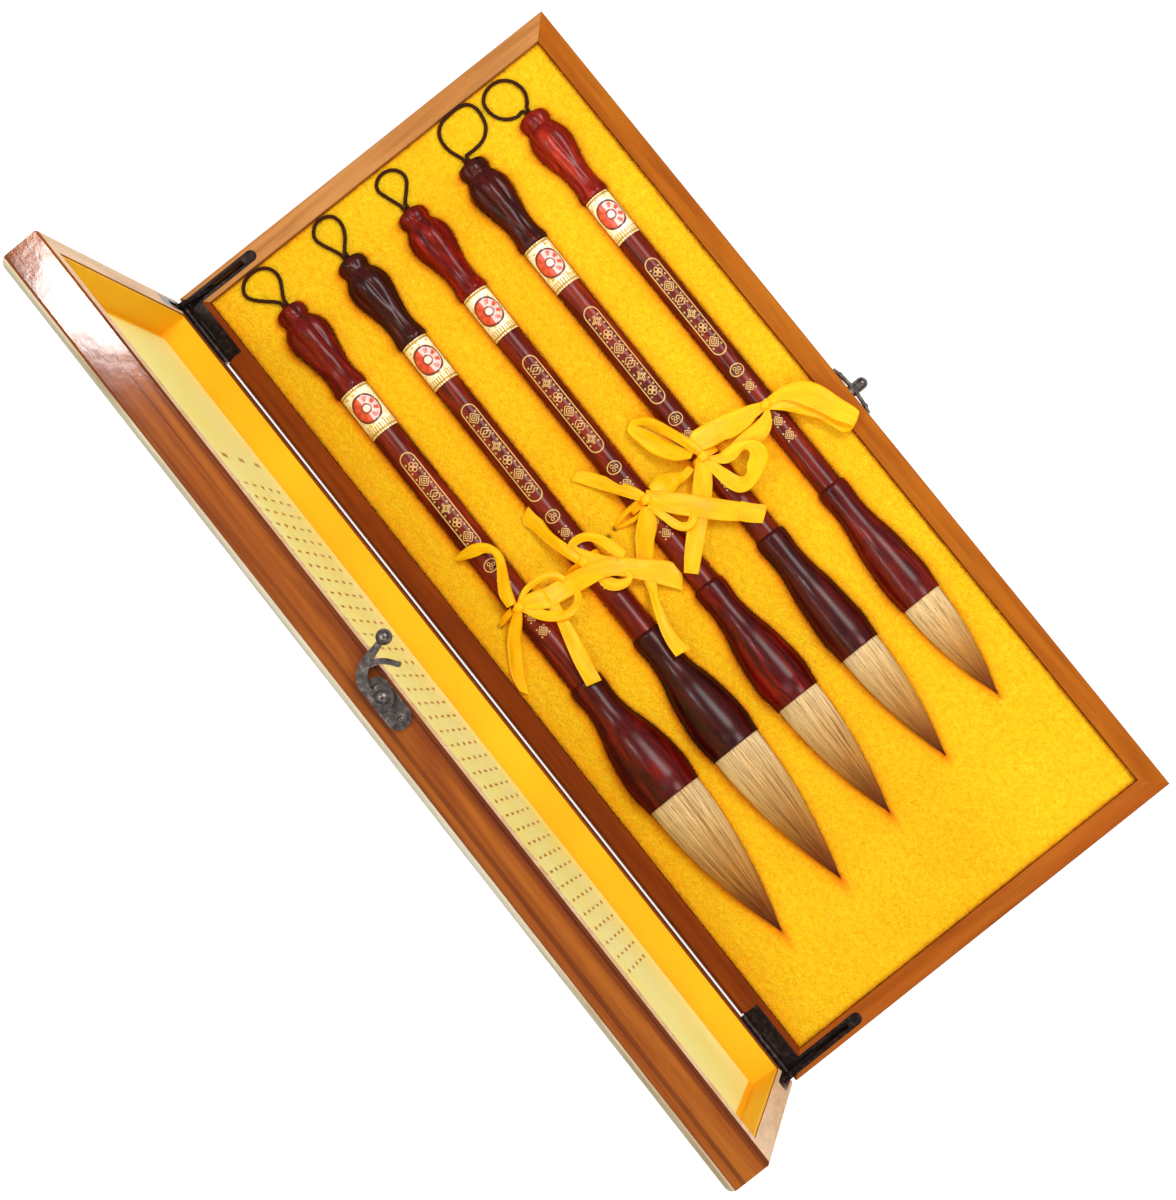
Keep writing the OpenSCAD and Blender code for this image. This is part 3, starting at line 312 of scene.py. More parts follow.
def hair_material(name, streaks, relief):
    """Streaked hair: u runs from root (0) to tip (1), and v is a strand's own number."""
    s = Shader(name)
    u = s.add("ShaderNodeSeparateXYZ", {"Vector": s.coords(source="UV")}).outputs[0]
    along = s.ramp(u, (0.0, lin(250, 230, 186)), (0.28, lin(236, 202, 142)), (0.55, lin(206, 154, 80)),
                   (0.8, lin(158, 92, 32)), (1.0, lin(104, 42, 10)))
    streak = s.noise(s.coords((2.0, streaks, 1), "UV"), 1.0, 3, 0.6)
    tone = s.ramp(streak, (0.32, lin(150, 112, 74)), (0.47, lin(238, 224, 204)), (0.7, grey(1.15)))
    s.set(Base_Color=s.times(0.95, along, tone), Roughness=0.6, Specular_IOR_Level=0.2)
    s.set(Normal=s.bump(streak, relief, 0.0004))
    return s.mat


def cord_material():
    s = Shader("cord_brown")
    wave = s.add("ShaderNodeTexWave", {"Vector": s.coords(source="UV"), "Scale": 1.0, "Distortion": 0.6},
                 wave_type="BANDS", bands_direction="DIAGONAL").outputs["Fac"]
    n = s.noise(s.coords(), 900, 3)
    col = s.ramp(wave, (0.2, lin(28, 10, 4)), (0.6, lin(56, 24, 10)), (0.9, lin(92, 46, 22)))
    col = s.times(0.4, col, s.ramp(n, (0.3, grey(0.6)), (0.7, grey(1.1))))
    s.set(Base_Color=col, Roughness=0.62, Specular_IOR_Level=0.12)
    s.set(Normal=s.bump(wave, 0.5, 0.0003))
    return s.mat


def lining_material():
    s = Shader("lining_silk")
    col = s.ramp(s.noise(s.coords(), 18, 4, 0.5), (0.3, lin(253, 180, 14)), (0.7, lin(255, 198, 26)))
    s.set(Base_Color=col, Roughness=0.55, Specular_IOR_Level=0.2)
    s.set(Normal=s.bump(s.noise(s.coords(), 1600, 2, 0.5), 0.15, 0.0003))
    return s.mat


def plain_material(name, colour, rough=0.5, metallic=0.0, amount=0.16):
    s = Shader(name)
    n = s.noise(s.coords(), 700, 4, 0.6)
    s.set(Base_Color=s.times(amount, colour, s.ramp(n, (0.3, grey(0.5)), (0.7, grey(1.2)))))
    s.set(Roughness=s.math("MULTIPLY_ADD", n, 0.15, rough - 0.07), Metallic=metallic)
    s.set(Normal=s.bump(n, 0.08, 0.0002))
    return s.mat


# Camera
CAMERA_PLACE = (-0.103245, 0.038400, 1.183916)
CAMERA_RIGHT = (-0.62019708, -0.78236089, -0.05715792)
CAMERA_UP = (0.77929229, -0.62282332, 0.0692433)
CAMERA_BACK = (-0.08977254, -0.00159823, 0.99596101)
cam_data = bpy.data.cameras.new("camera")
cam_data.lens = 86.29
cam_data.sensor_width = 36
cam_data.sensor_fit = "AUTO"
cam_data.clip_start = 0.02
cam_data.clip_end = 20
camera = link(bpy.data.objects.new("camera", cam_data))
columns = (CAMERA_RIGHT, CAMERA_UP, CAMERA_BACK, CAMERA_PLACE)
camera.matrix_world = Matrix([[c[k] for c in columns] for k in range(3)] + [(0, 0, 0, 1)])
bpy.context.scene.camera = camera
bpy.context.scene.view_settings.view_transform = "Standard"


# Lamps, with places in metres
def area(name, place, target, size, power, colour=(1, 1, 1)):
    d = bpy.data.lights.new(name, "AREA")
    d.shape = "RECTANGLE"
    d.size, d.size_y = size
    d.energy = power
    d.color = colour
    o = link(bpy.data.objects.new(name, d))
    o.location = place
    o.rotation_euler = (Vector(target) - Vector(place)).to_track_quat("-Z", "Y").to_euler()


area("key", (0.15, -0.85, 1.5), (0, 0, 0), (1.1, 0.6), 18.5, (1.0, 0.98, 0.95))
area("fill", (-0.9, 0.2, 1.3), (0, 0, 0), (0.9, 0.9), 6)
area("rim", (0.9, 0.9, 1.2), (0, 0, 0.05), (0.7, 0.7), 2.5)
area("streak", (0.0, 0.8, 1.15), (0, 0, 0.04), (0.9, 0.12), 3.8)
area("lid_sheen", (0.455, 0.31, 1.2), (0.178, 0.11, 0.23), (0.08, 0.08), 1.9)


def studio_world():
    """Pale to the camera, and a dimmer white as light."""
    world = bpy.data.worlds.new("studio")
    bpy.context.scene.world = world
    world.use_nodes = True
    nodes, links = world.node_tree.nodes, world.node_tree.links
    lit = nodes["Background"]
    lit.inputs["Color"].default_value = (1, 1, 1, 1)
    lit.inputs["Strength"].default_value = 0.42
    seen = nodes.new("ShaderNodeBackground")
    seen.inputs["Strength"].default_value = 1.0
    mixed = nodes.new("ShaderNodeMixShader")
    sources = (nodes.new("ShaderNodeLightPath").outputs["Is Camera Ray"], lit.outputs[0], seen.outputs[0])
    for k, source in enumerate(sources):
        links.new(source, mixed.inputs[k])
    links.new(mixed.outputs[0], nodes["World Output"].inputs["Surface"])


def floor_material():
    """A pale floor that shows white, but throws back less light than it shows."""
    s = Shader("floor_white")
    col = s.ramp(s.noise(s.coords(), 3, 2), (0, grey(0.49)), (1, grey(0.52)))
    s.set(Base_Color=col, Roughness=0.9, Specular_IOR_Level=0.1)
    path = s.add("ShaderNodeLightPath").outputs
    clear = s.math("MAXIMUM", path["Is Glossy Ray"], path["Is Transmission Ray"])
    shown = s.math("MULTIPLY", s.math("MAXIMUM", path["Is Camera Ray"], clear), 0.72)
    glow = s.add("ShaderNodeEmission", {"Color": (1, 1, 1, 1), "Strength": shown})
    both = s.add("ShaderNodeAddShader", {0: s.bsdf.outputs[0], 1: glow.outputs[0]})
    s.links.new(both.outputs[0], s.nodes["Material Output"].inputs["Surface"])
    return s.mat


studio_world()
FLOOR_HALF, FLOOR_Z = 4000, -0.2
corners = [(FLOOR_HALF * x, FLOOR_HALF * y, FLOOR_Z) for x, y in ((-1, -1), (1, -1), (1, 1), (-1, 1))]
floor = make("floor", corners, [(0, 1, 2, 3)], floor_material(), smooth=False)

# Hanging cords: points as (along X from the knob, along Y from the brush's axis)
CORD_D = 1.6
CORD_ROUTES = [
    [[2, -0.9], [4, -1.4], [7, -3], [10, -4.6], [13.5, -5.2], [17, -4], [19.4, -1], [20, 3], [19, 7],
     [16.5, 9.6], [13.6, 10.2], [10.4, 8.4], [7.4, 5.4], [4.6, 2.4], [2, 0.9]],
    [[2, -0.9], [4, -1.8], [7, -4.4], [10.5, -6.4], [14, -7], [17.4, -6], [19.4, -3], [19.4, 1],
     [17.2, 4], [14, 5.2], [10, 4], [6, 2.2], [2, 0.9]],
    [[2, -0.9], [4, -1.9], [7, -4.8], [10, -7.2], [13, -7.8], [16, -6.6], [18, -3.8], [18.4, -0.2],
     [16.8, 3], [13.8, 4.4], [10, 3.4], [6, 2], [2, 0.9]],
    [[2, -0.9], [2.6, -3.6], [2.8, -7.6], [4, -11.4], [7, -14.6], [11, -16], [15.4, -16.2], [19, -14.4],
     [20.4, -10.6], [20.4, -6], [19.6, -1.6], [17, 1.8], [13, 3.2], [8.6, 3], [5, 1.8], [2, 0.9]],
    [[2, -0.9], [4.4, -2.6], [7.8, -4.2], [11.6, -4.2], [15.4, -2.6], [18.2, 0.6], [19, 4.6], [18, 8.6],
     [15.2, 11.4], [11.2, 12], [7, 10.8], [3.8, 8], [2.2, 4.4], [2, 0.9]],
]
CORD_INSIDE = 6
cord_mat = cord_material()


def tube(path, radius, sides, twist, lobes, depth):
    """A lobed tube along a path in mm: points, faces, (u, v) values and the path's length."""
    path = np.asarray(path, float)
    tan = np.gradient(path, axis=0)
    tan /= np.linalg.norm(tan, axis=1)[:, None]
    run = np.concatenate([[0], np.cumsum(np.linalg.norm(np.diff(path, axis=0), axis=1))])
    side = np.array([0, 0, 1.0])
    rings, uv = [], []
    for i, p in enumerate(path):
        side = side - tan[i] * (side @ tan[i])
        side /= np.linalg.norm(side)
        other = np.cross(tan[i], side)
        for k in range(sides):
            a = 2 * math.pi * k / sides
            r = radius * (1 + depth * math.cos(lobes * a + twist * run[i]))
            rings.append(p + r * (math.cos(a) * side + math.sin(a) * other))
            uv.append((run[i] / 1.2 + k / sides, k / sides))
    faces = grid(len(path), sides, close=True)
    faces.append(list(range(sides))[::-1])
    faces.append(list(range((len(path) - 1) * sides, len(path) * sides)))
    return rings, faces, uv, run[-1]


for b in range(5):
    pts = [[-CORD_INSIDE, -0.9]] + CORD_ROUTES[b] + [[-CORD_INSIDE, 0.9]]
    route = spline([[KNOB_X + p[0], BRUSH_Y[b] + p[1], AXIS_Z] for p in pts], 6)
    lay = 2 * math.pi / 2.4
    ring, faces, uv, length = tube(route, CORD_D / 2 * 0.98, 12, twist=lay, lobes=3, depth=0.06)
    o = make(f"hanging_cord_{b + 1}", ring, faces, cord_mat, uv=uv)
    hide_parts(f"brush_{b + 1}_cord")
    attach(o, f"brush_{b + 1}")

# Finishes of the case, the hinges and the latch
case_x = wood("case_wood_along_x", 0, lin(178, 102, 20), lin(167, 88, 12), lin(152, 75, 8))
# The back wall gets a darker copy of the case wood, painted shade from the open lid
back_wall_painted_shade = wood("case_wood_back", 0, lin(152, 70, 10), lin(138, 58, 7), lin(120, 46, 4))
case_left = wood("case_wood_left", 1, lin(176, 96, 26), lin(164, 82, 16), lin(146, 68, 10))
# The right wall gets a lighter, paler copy of the case wood, a painted sheen where light falls on it
right_wall_painted_sheen = wood("case_wood_right", 1, lin(200, 142, 84), lin(188, 126, 68), lin(170, 106, 50))
lid_x = wood("lid_wood_along_x", 0, lin(164, 94, 24), lin(144, 74, 13), lin(120, 54, 7),
             rough=0.45, lines=0.7, coat=0.4, seam=0.1035)
lid_side = wood("lid_wood_sides", 2, lin(186, 124, 70), lin(164, 98, 50), lin(132, 70, 30))
# The rounded outer edge of the lid gets a pale wood, a painted reflection of the white around it
lid_edge_painted_reflection = wood("lid_bevel_worn", 0, lin(222, 216, 196), lin(198, 186, 156), lin(158, 132, 92), rough=0.4)
# The rim faces of the lid walls get a pale wood, a painted highlight where the front light falls on them
lid_rim_painted_highlight = wood("lid_rim_pale", 2, lin(246, 214, 180), lin(238, 200, 160), lin(220, 176, 132))
hinge_metal = dark_metal("hinge_black", lin(24, 17, 16), lin(38, 28, 26), lin(72, 58, 50))
latch_metal = dark_metal("latch_pewter", lin(66, 59, 57), lin(92, 84, 80), lin(150, 142, 134))


def repaint(name, material):
    o = NODES[name]
    o.data.materials.clear()
    o.data.materials.append(material)
    o.data.polygons.foreach_set("material_index", [0] * len(o.data.polygons))


def repaint_faces(name, material, wanted):
    """A second finish for those faces of a CAD solid whose normal is wanted."""
    o = NODES[name]
    o.data.materials.append(material)
    for p in o.data.polygons:
        if wanted(p.normal):
            p.material_index = len(o.data.materials) - 1


FINISHES = {
    "base_front_wall": case_x, "base_bottom": case_x, "base_back_wall": back_wall_painted_shade,
    "base_left_wall": case_left, "base_right_wall": right_wall_painted_sheen,
    "lid_front_wall": lid_x, "lid_back_wall": lid_x, "lid_top": lid_x,
    "lid_left_wall": lid_side, "lid_right_wall": lid_side,
    "foam_insert": plain_material("foam_cream", lin(236, 226, 190), 0.9), "lid_lining": lining_material(),
}
for n in NODES:
    if n in FINISHES:
        repaint(n, FINISHES[n])
    if n.startswith(("hinge_", "stay_")):
        repaint(n, hinge_metal)
    if n.startswith(("latch_", "catch_")):
        repaint(n, latch_metal)
# Painted highlight on the rim faces of the lid walls
for n in ("lid_left_wall", "lid_right_wall", "lid_front_wall"):
    repaint_faces(n, lid_rim_painted_highlight, lambda normal: normal.y < -0.7)
# Painted reflection on the rounded outer edge of the lid's front wall
repaint_faces("lid_front_wall", lid_edge_painted_reflection, lambda normal: normal.y > 0.1 and 0.12 < normal.z < 0.93)

# Printed sheet in the lid, drawn on the shut lid and opened with it
LID_OPEN = math.radians(94)
HINGE_Y, HINGE_Z = 95.0, 38.2
LID_FLOOR_Z = 50.4
SHEET_X, SHEET_Y = 187.5, 82


def opened(x, y, z):
    """A point of the shut lid, carried to where the open lid has it."""
    c, s = math.cos(-LID_OPEN), math.sin(-LID_OPEN)
    dy, dz = y - HINGE_Y, z - HINGE_Z
    return (x, HINGE_Y + dy * c - dz * s, HINGE_Z + dy * s + dz * c)


def paper_material():
    s = Shader("lid_paper")
    f = s.noise(s.coords(), 900, 3, 0.6)
    col = s.ramp(s.noise(s.coords(), 30, 4, 0.6), (0.3, lin(255, 244, 138)), (0.7, lin(255, 252, 176)))
    col = s.times(0.2, col, s.ramp(f, (0.3, grey(0.86)), (0.7, grey(1.04))))
    s.set(Base_Color=col, Roughness=0.6, Normal=s.bump(f, 0.1, 0.0003))
    return s.mat


sheet = []
for x in np.linspace(-SHEET_X, SHEET_X, 60):
    for y in np.linspace(-SHEET_Y, SHEET_Y, 26):
        ripple = 0.05 * math.sin(x * 0.045 + 1) * math.sin(y * 0.07)
        sheet.append(opened(x, y, LID_FLOOR_Z - 0.12 - ripple))
paper = make("lid_paper", sheet, grid(60, 26), paper_material())
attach(paper, "lid")

# A heading, then columns of small lozenges from the front edge of the lid towards the hinges
PRINT_X, HEADING_X, COLUMN_PITCH, MARK_PITCH, COLUMNS = 107.0, 120.5, 6.6, 14.0, 36
MARK_W, MARK_H = 1.05, 3.2
PRINT_Z = LID_FLOOR_Z - 0.24
ink_pts, ink_faces = [], []
ink_rng = np.random.default_rng(5)


def print_mark(cx, cy, w, h):
    """One filled lozenge, or two or three small ones in a row."""
    count = int(ink_rng.integers(1, 4))
    for k in range(count):
        y = cy + (k - (count - 1) / 2) * 2 * h / count
        a, c = w * (1.0 if count == 1 else 0.75), 0.72 * h / count
        start = len(ink_pts)
        for px, py in ((cx - a, y), (cx, y - c), (cx + a, y), (cx, y + c)):
            ink_pts.append(opened(px, py, PRINT_Z))
        ink_faces.append((start, start + 1, start + 2, start + 3))


for m in range(6):
    print_mark(HEADING_X, -70 + 27 * m, 2.0, 4.6)
for c in range(COLUMNS):
    for m in range(11):
        print_mark(PRINT_X - COLUMN_PITCH * c, -74 + MARK_PITCH * m, MARK_W, MARK_H)
ink = plain_material("lid_ink", lin(206, 116, 44), 0.6)
ink_obj = make("lid_lozenge_print", ink_pts, ink_faces, ink, smooth=False)
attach(ink_obj, "lid")

# Bead along the back rim, between the hinge leaves, in the back wall's wood with its painted shade
LEAF_END = 166.5
BEAD = [(93.9, 37.3), (94.35, 37.4), (94.65, 37.1), (94.75, 36.4), (94.65, 35.6), (94.35, 35.1), (93.9, 35.0)]
pts, rows, sides = [], 60, len(BEAD)
for i in range(rows):
    x = -LEAF_END + 2 * LEAF_END * i / (rows - 1)
    pts += [(x, y, z + 0.04 * math.sin(0.11 * x) * (k % 2)) for k, (y, z) in enumerate(BEAD)]
ends = [list(range(sides))[::-1], list(range((rows - 1) * sides, rows * sides))]
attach(make("back_bead", pts, grid(rows, sides, close=True) + ends, back_wall_painted_shade), "base")

# Dark metal floors of the slots in which the stay arms slide: a metal channel, and painted shade down in the
# slots
SLOT_X, SLOT_FRONT, SLOT_BACK, SLOT_FLOOR = 195.5, 64.7, 87.6, 32.5
for side, word in ((-1, "left"), (1, "right")):
    pts = []
    for k in range(24):
        y = SLOT_FRONT + (SLOT_BACK - SLOT_FRONT) * k / 23
        for dx, z in ((-1.2, 0.02), (-0.8, 0.12), (0.8, 0.12), (1.2, 0.02)):
            pts.append((side * SLOT_X + dx, y, SLOT_FLOOR + z + 0.01 * math.sin(2.1 * k)))
    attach(make(f"stay_slot_shade_floor_{word}", pts, grid(24, 4, flip=True), hinge_metal), "base")

# Woods of the brushes, as light, mid and dark colours for brushes 1 to 5
FINIAL_WOOD = [
    (lin(140, 30, 14), lin(108, 14, 6), lin(66, 5, 3)), (lin(88, 20, 14), lin(62, 10, 8), lin(34, 4, 4)),
    (lin(158, 26, 12), lin(120, 11, 5), lin(70, 4, 3)), (lin(98, 22, 12), lin(72, 11, 8), lin(38, 4, 4)),
    (lin(178, 44, 18), lin(140, 22, 9), lin(88, 8, 5))]
FERRULE_WOOD = [
    (lin(122, 17, 6), lin(84, 7, 4), lin(40, 2, 2)), (lin(82, 15, 11), lin(56, 6, 6), lin(34, 3, 4)),
    (lin(134, 15, 5), lin(84, 5, 3), lin(30, 2, 2)), (lin(94, 16, 12), lin(66, 7, 7), lin(42, 3, 4)),
    (lin(128, 20, 10), lin(92, 8, 5), lin(52, 3, 3))]
SHAFT_WOOD = (lin(150, 44, 18), lin(112, 22, 9), lin(72, 8, 4))


def finial_radius(i):
    """Radius over the finial's length from knob (0) to label (1)."""
    s, k, u = SHAFT_D[i] / 2, KNOB_D / 2, BULB_D[i] / 2
    knob = {0: 0.35, 0.012: 0.66, 0.035: 0.90, 0.07: 1.02, 0.11: 1.03, 0.145: 0.95, 0.165: 0.90, 0.19: 1.0}
    bulb = {0.24: 0.93, 0.30: 1.05, 0.37: 1.08, 0.45: 1.03, 0.54: 0.91}
    waist = {0.63: 1.20, 0.71: 1.08, 0.79: 1.04, 0.87: 1.08, 0.93: 1.18}
    radii = [k * v for v in knob.values()] + [u * v for v in bulb.values()] + [s * v for v in waist.values()]
    return table([*knob, *bulb, *waist, 0.97, 1.0], radii + [s + 1.2, s + 0.6])


def ferrule_radius(i):
    """Radius over the ferrule's length from shaft (0) to mouth (1)."""
    s, be, mo = SHAFT_D[i], BELLY_D[i], MOUTH_D[i]
    col, neck = s + 2.6, s + 2.6 * 0.7
    profile = {
        0: s / 2 + 0.3, 0.015: col / 2 - 0.25, 0.035: col / 2, 0.09: col / 2, 0.2: neck / 2,
        0.35: neck * 0.4 + be * 0.1, 0.5: neck * 0.2 + be * 0.3, 0.65: be * 0.467, 0.78: be * 0.497,
        0.86: be * 0.497, 0.94: be * 0.15 + mo * 0.35, 1.0: mo / 2}
    return table([*profile], [*profile.values()])


def turned(stations, radius, sides, x0, y, lobe=None):
    """A turned piece that runs from x0 towards -X, closed at both ends."""
    pts = []
    ang = 2 * np.pi * np.arange(sides) / sides
    for t in stations:
        r = np.full(sides, radius(t)) if lobe is None else lobe(t, ang, radius(t))
        pts += [(x0 - t, y + a * math.cos(p), AXIS_Z + a * math.sin(p)) for a, p in zip(r, ang)]
    first, last = list(range(sides)), list(range((len(stations) - 1) * sides, len(stations) * sides))
    return pts, grid(len(stations), sides, close=True) + [first[::-1], last]


def brush_piece(kind, b, pts, faces, material):
    """A turned piece that stands for a CAD piece of brush b."""
    o = make(f"{kind}_{b + 1}", pts, faces, material)
    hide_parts(f"brush_{b + 1}_{kind}")
    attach(o, f"brush_{b + 1}")


def ramped(t, width):
    return min(max(t / width, 0), 1)


for b in range(5):
    profile, belly = finial_radius(b), ferrule_radius(b)
    finial_wood = turned_wood(f"finial_wood_{b + 1}", *FINIAL_WOOD[b], seed=0.31 * b)
    ferrule_wood = turned_wood(f"ferrule_wood_{b + 1}", *FERRULE_WOOD[b], seed=0.9 + 0.23 * b, rough=0.27)
    shaft_wood = turned_wood(f"shaft_wood_{b + 1}", *SHAFT_WOOD, seed=2.1 + 0.37 * b, rough=0.36)

    def carved(t, ang, r, b=b):
        """Soft lobes on the bulb and the knob, and flutes towards the flare."""
        u = t / FINIAL_L
        bulb = max(0.0, math.sin(math.pi * ramped(u - 0.18, 0.5)))
        flute = ramped(u - 0.62, 0.2) * min(1, (1.0 - u) / 0.05)
        knob = max(0.0, math.sin(math.pi * min(u / 0.17, 1)))
        a = ang + 0.35 * b
        k = 1 - 0.15 * bulb * (1 - np.abs(np.sin(3 * a + 0.4 - 0.9 * u)) ** 0.8)
        k = k - 0.11 * flute * (1 - np.abs(np.sin(4 * a + 0.3)) ** 0.8)
        k = k - 0.14 * knob * (1 - np.abs(np.sin(2.5 * a + 1.0)) ** 0.7)
        return r * k

    solid = turned(np.linspace(0, FINIAL_L, 90), lambda t: float(profile(t / FINIAL_L)),
                   84, KNOB_X, BRUSH_Y[b], carved)
    brush_piece("finial", b, *solid, finial_wood)
    repaint(f"brush_{b + 1}_shaft", shaft_wood)
    solid = turned(np.linspace(0, FERRULE_L, 120), lambda t: float(belly(t / FERRULE_L)),
                   96, FERRULE_X, BRUSH_Y[b])
    brush_piece("ferrule", b, *solid, ferrule_wood)


# Label sleeves
def label_material():
    """A red and white disc on flecked paper; u and v are in mm from the disc's middle."""
    s = Shader("label_paper")
    x, y = s.add("ShaderNodeSeparateXYZ", {"Vector": s.coords(source="UV")}).outputs[:2]

    def over(a, limit):
        return s.math("GREATER_THAN", a, limit)

    n = s.noise(s.coords(), 260, 4, 0.6)
    base = s.ramp(n, (0.3, lin(250, 236, 176)), (0.5, lin(255, 248, 214)), (0.7, lin(255, 252, 236)))
    base = s.mix(over(s.noise(s.coords(), 620, 2, 0.5), 0.60), base, lin(228, 184, 62))
    ends = over(s.math("ABSOLUTE", s.math("ADD", x, 0.7)), 8.4)
    bars = over(s.math("SINE", s.math("MULTIPLY", y, 5.0)), 0.1)
    base = s.mix(s.math("MULTIPLY", ends, bars), base, lin(206, 156, 40))
    d = s.math("SQRT", s.math("ADD", s.math("POWER", x, 2.0), s.math("POWER", y, 2.0)))

    def disc(r0, r1):
        return s.math("MULTIPLY", over(d, r0), s.math("LESS_THAN", d, r1))

    half = over(s.math("ADD", y, s.math("MULTIPLY", n, 1.0)), -0.2)
    two = s.mix(half, lin(214, 62, 28), lin(244, 206, 196))
    petals = s.math("ABSOLUTE", s.math("SINE", s.math("MULTIPLY", s.math("ARCTAN2", y, x), 4.0)))
    two = s.mix(s.math("MULTIPLY", over(petals, 0.72), disc(2.9, 5.2)), two, lin(226, 84, 52))
    col = s.mix(s.math("LESS_THAN", d, 6.2), base, two)
    col = s.mix(disc(5.6, 6.5), col, lin(112, 26, 18))
    col = s.mix(disc(1.5, 2.3), col, lin(150, 44, 30))
    col = s.mix(s.math("LESS_THAN", d, 1.5), col, lin(250, 224, 206))
    s.set(Base_Color=col, Roughness=0.34, Coat_Weight=0.3, Normal=s.bump(n, 0.06, 0.0002))
    return s.mat


def round_shaft(b, x, r, a):
    """A point at radius r round shaft b; an angle of pi / 2 is straight up, and 0 is to the back."""
    return (x, BRUSH_Y[b] + r * math.cos(a), AXIS_Z + r * math.sin(a))


label_mat = label_material()
rule_mat = plain_material("label_rule", lin(196, 150, 40), 0.4, 0.3, 0.3)
SLEEVE_SIDES, SLEEVE_ROWS, DISC_X = 72, 25, LABEL_X - 10.2
for b in range(5):
    r = SHAFT_D[b] / 2 + 0.29
    ang = -math.pi / 2 + 2 * math.pi * np.arange(SLEEVE_SIDES + 1) / SLEEVE_SIDES
    pts, uv = [], []
    for k in range(SLEEVE_ROWS):
        x = LABEL_X - 0.2 - (LABEL_L - 0.4) * k / (SLEEVE_ROWS - 1)
        for a in ang:
            pts.append(round_shaft(b, x, r, a))
            uv.append((DISC_X - x, (a - math.pi / 2) * r))
    sleeve = make(f"label_sleeve_{b + 1}", pts, grid(SLEEVE_ROWS, SLEEVE_SIDES + 1), label_mat, uv=uv)
    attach(sleeve, f"brush_{b + 1}")
    for k, x in enumerate((LABEL_X - 1.2, LABEL_X - 20.6)):
        rule = []
        for dx, lift in ((-0.35, 0.01), (-0.3, 0.06), (0.3, 0.06), (0.35, 0.01)):
            rule += [round_shaft(b, x + dx, r + lift, a) for a in ang[:-1]]
        o = make(f"label_rule_{b + 1}_{k + 1}", rule, grid(4, SLEEVE_SIDES, close=True), rule_mat)
        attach(o, f"brush_{b + 1}")


# Gold ornament on the shafts
def stroke(b, line, width, points, faces):
    """A thin raised stroke on shaft b along (x, s) points; s goes across over the top, to the back."""
    line = np.asarray(line, float)
    out = [line[0]]
    for a, c in zip(line[:-1], line[1:]):
        n = max(1, int(np.linalg.norm(c - a) / 0.5))
        out += [a + (c - a) * (k + 1) / n for k in range(n)]
    line = np.array(out)
    tan = np.gradient(line, axis=0)
    tan /= np.linalg.norm(tan, axis=1)[:, None] + 1e-9
    nor = np.stack([-tan[:, 1], tan[:, 0]], 1) * width / 2
    start, r = len(points), SHAFT_D[b] / 2
    for p, n in zip(line, nor):
        for side, lift in ((1, 0.0), (0.8, 0.05), (-0.8, 0.05), (-1, 0.0)):
            x, s = p + n * side
            out, a = r + lift, s / r
            points.append((x, BRUSH_Y[b] + out * math.sin(a), AXIS_Z + out * math.cos(a)))
    faces += grid(len(line), 4, start=start)


def arc(cx, cy, rx, ry, n=28, start=0.0, stop=2 * math.pi):
    t = np.linspace(start, stop, n)
    return list(zip(cx + rx * np.cos(t), cy + ry * np.sin(t)))


def lozenge(x, y, p, q):
    return [(x - p, y), (x, y - q), (x + p, y), (x, y + q), (x - p, y)]


def motif(cx, cy, w, h, kind):
    """Lines of a flower (0), nested (1) or linked (2) lozenges, or a ringed one (3), in a w by h cell."""
    a, c = w / 2, h / 2
    around, diagonal = ((1, 0), (-1, 0), (0, 1), (0, -1)), ((-1, -1), (-1, 1), (1, -1), (1, 1))
    dots = [lozenge(cx + i * a * 0.86, cy + j * c * 0.86, a * 0.14, c * 0.14) for i, j in diagonal]
    if kind == 0:
        petals = [arc(cx + i * a * 0.52, cy + j * c * 0.52, a * 0.34, c * 0.34, 14) for i, j in around]
        return petals + dots + [arc(cx, cy, a * 0.16, c * 0.16, 10)]
    if kind == 1:
        return [lozenge(cx, cy, a * k, c * k) for k in (1, 0.55, 0.15)] + dots
    if kind == 2:
        return [lozenge(cx + i * a * 0.3, cy, a * 0.62, c * 0.9) for i in (-1, 1)] + dots
    points = [lozenge(cx + i * a * 0.78, cy + j * c * 0.78, a * 0.2, c * 0.2) for i, j in around]
    return [arc(cx, cy, a * 0.5, c * 0.5, 20), lozenge(cx, cy, a * 0.32, c * 0.32)] + points + dots


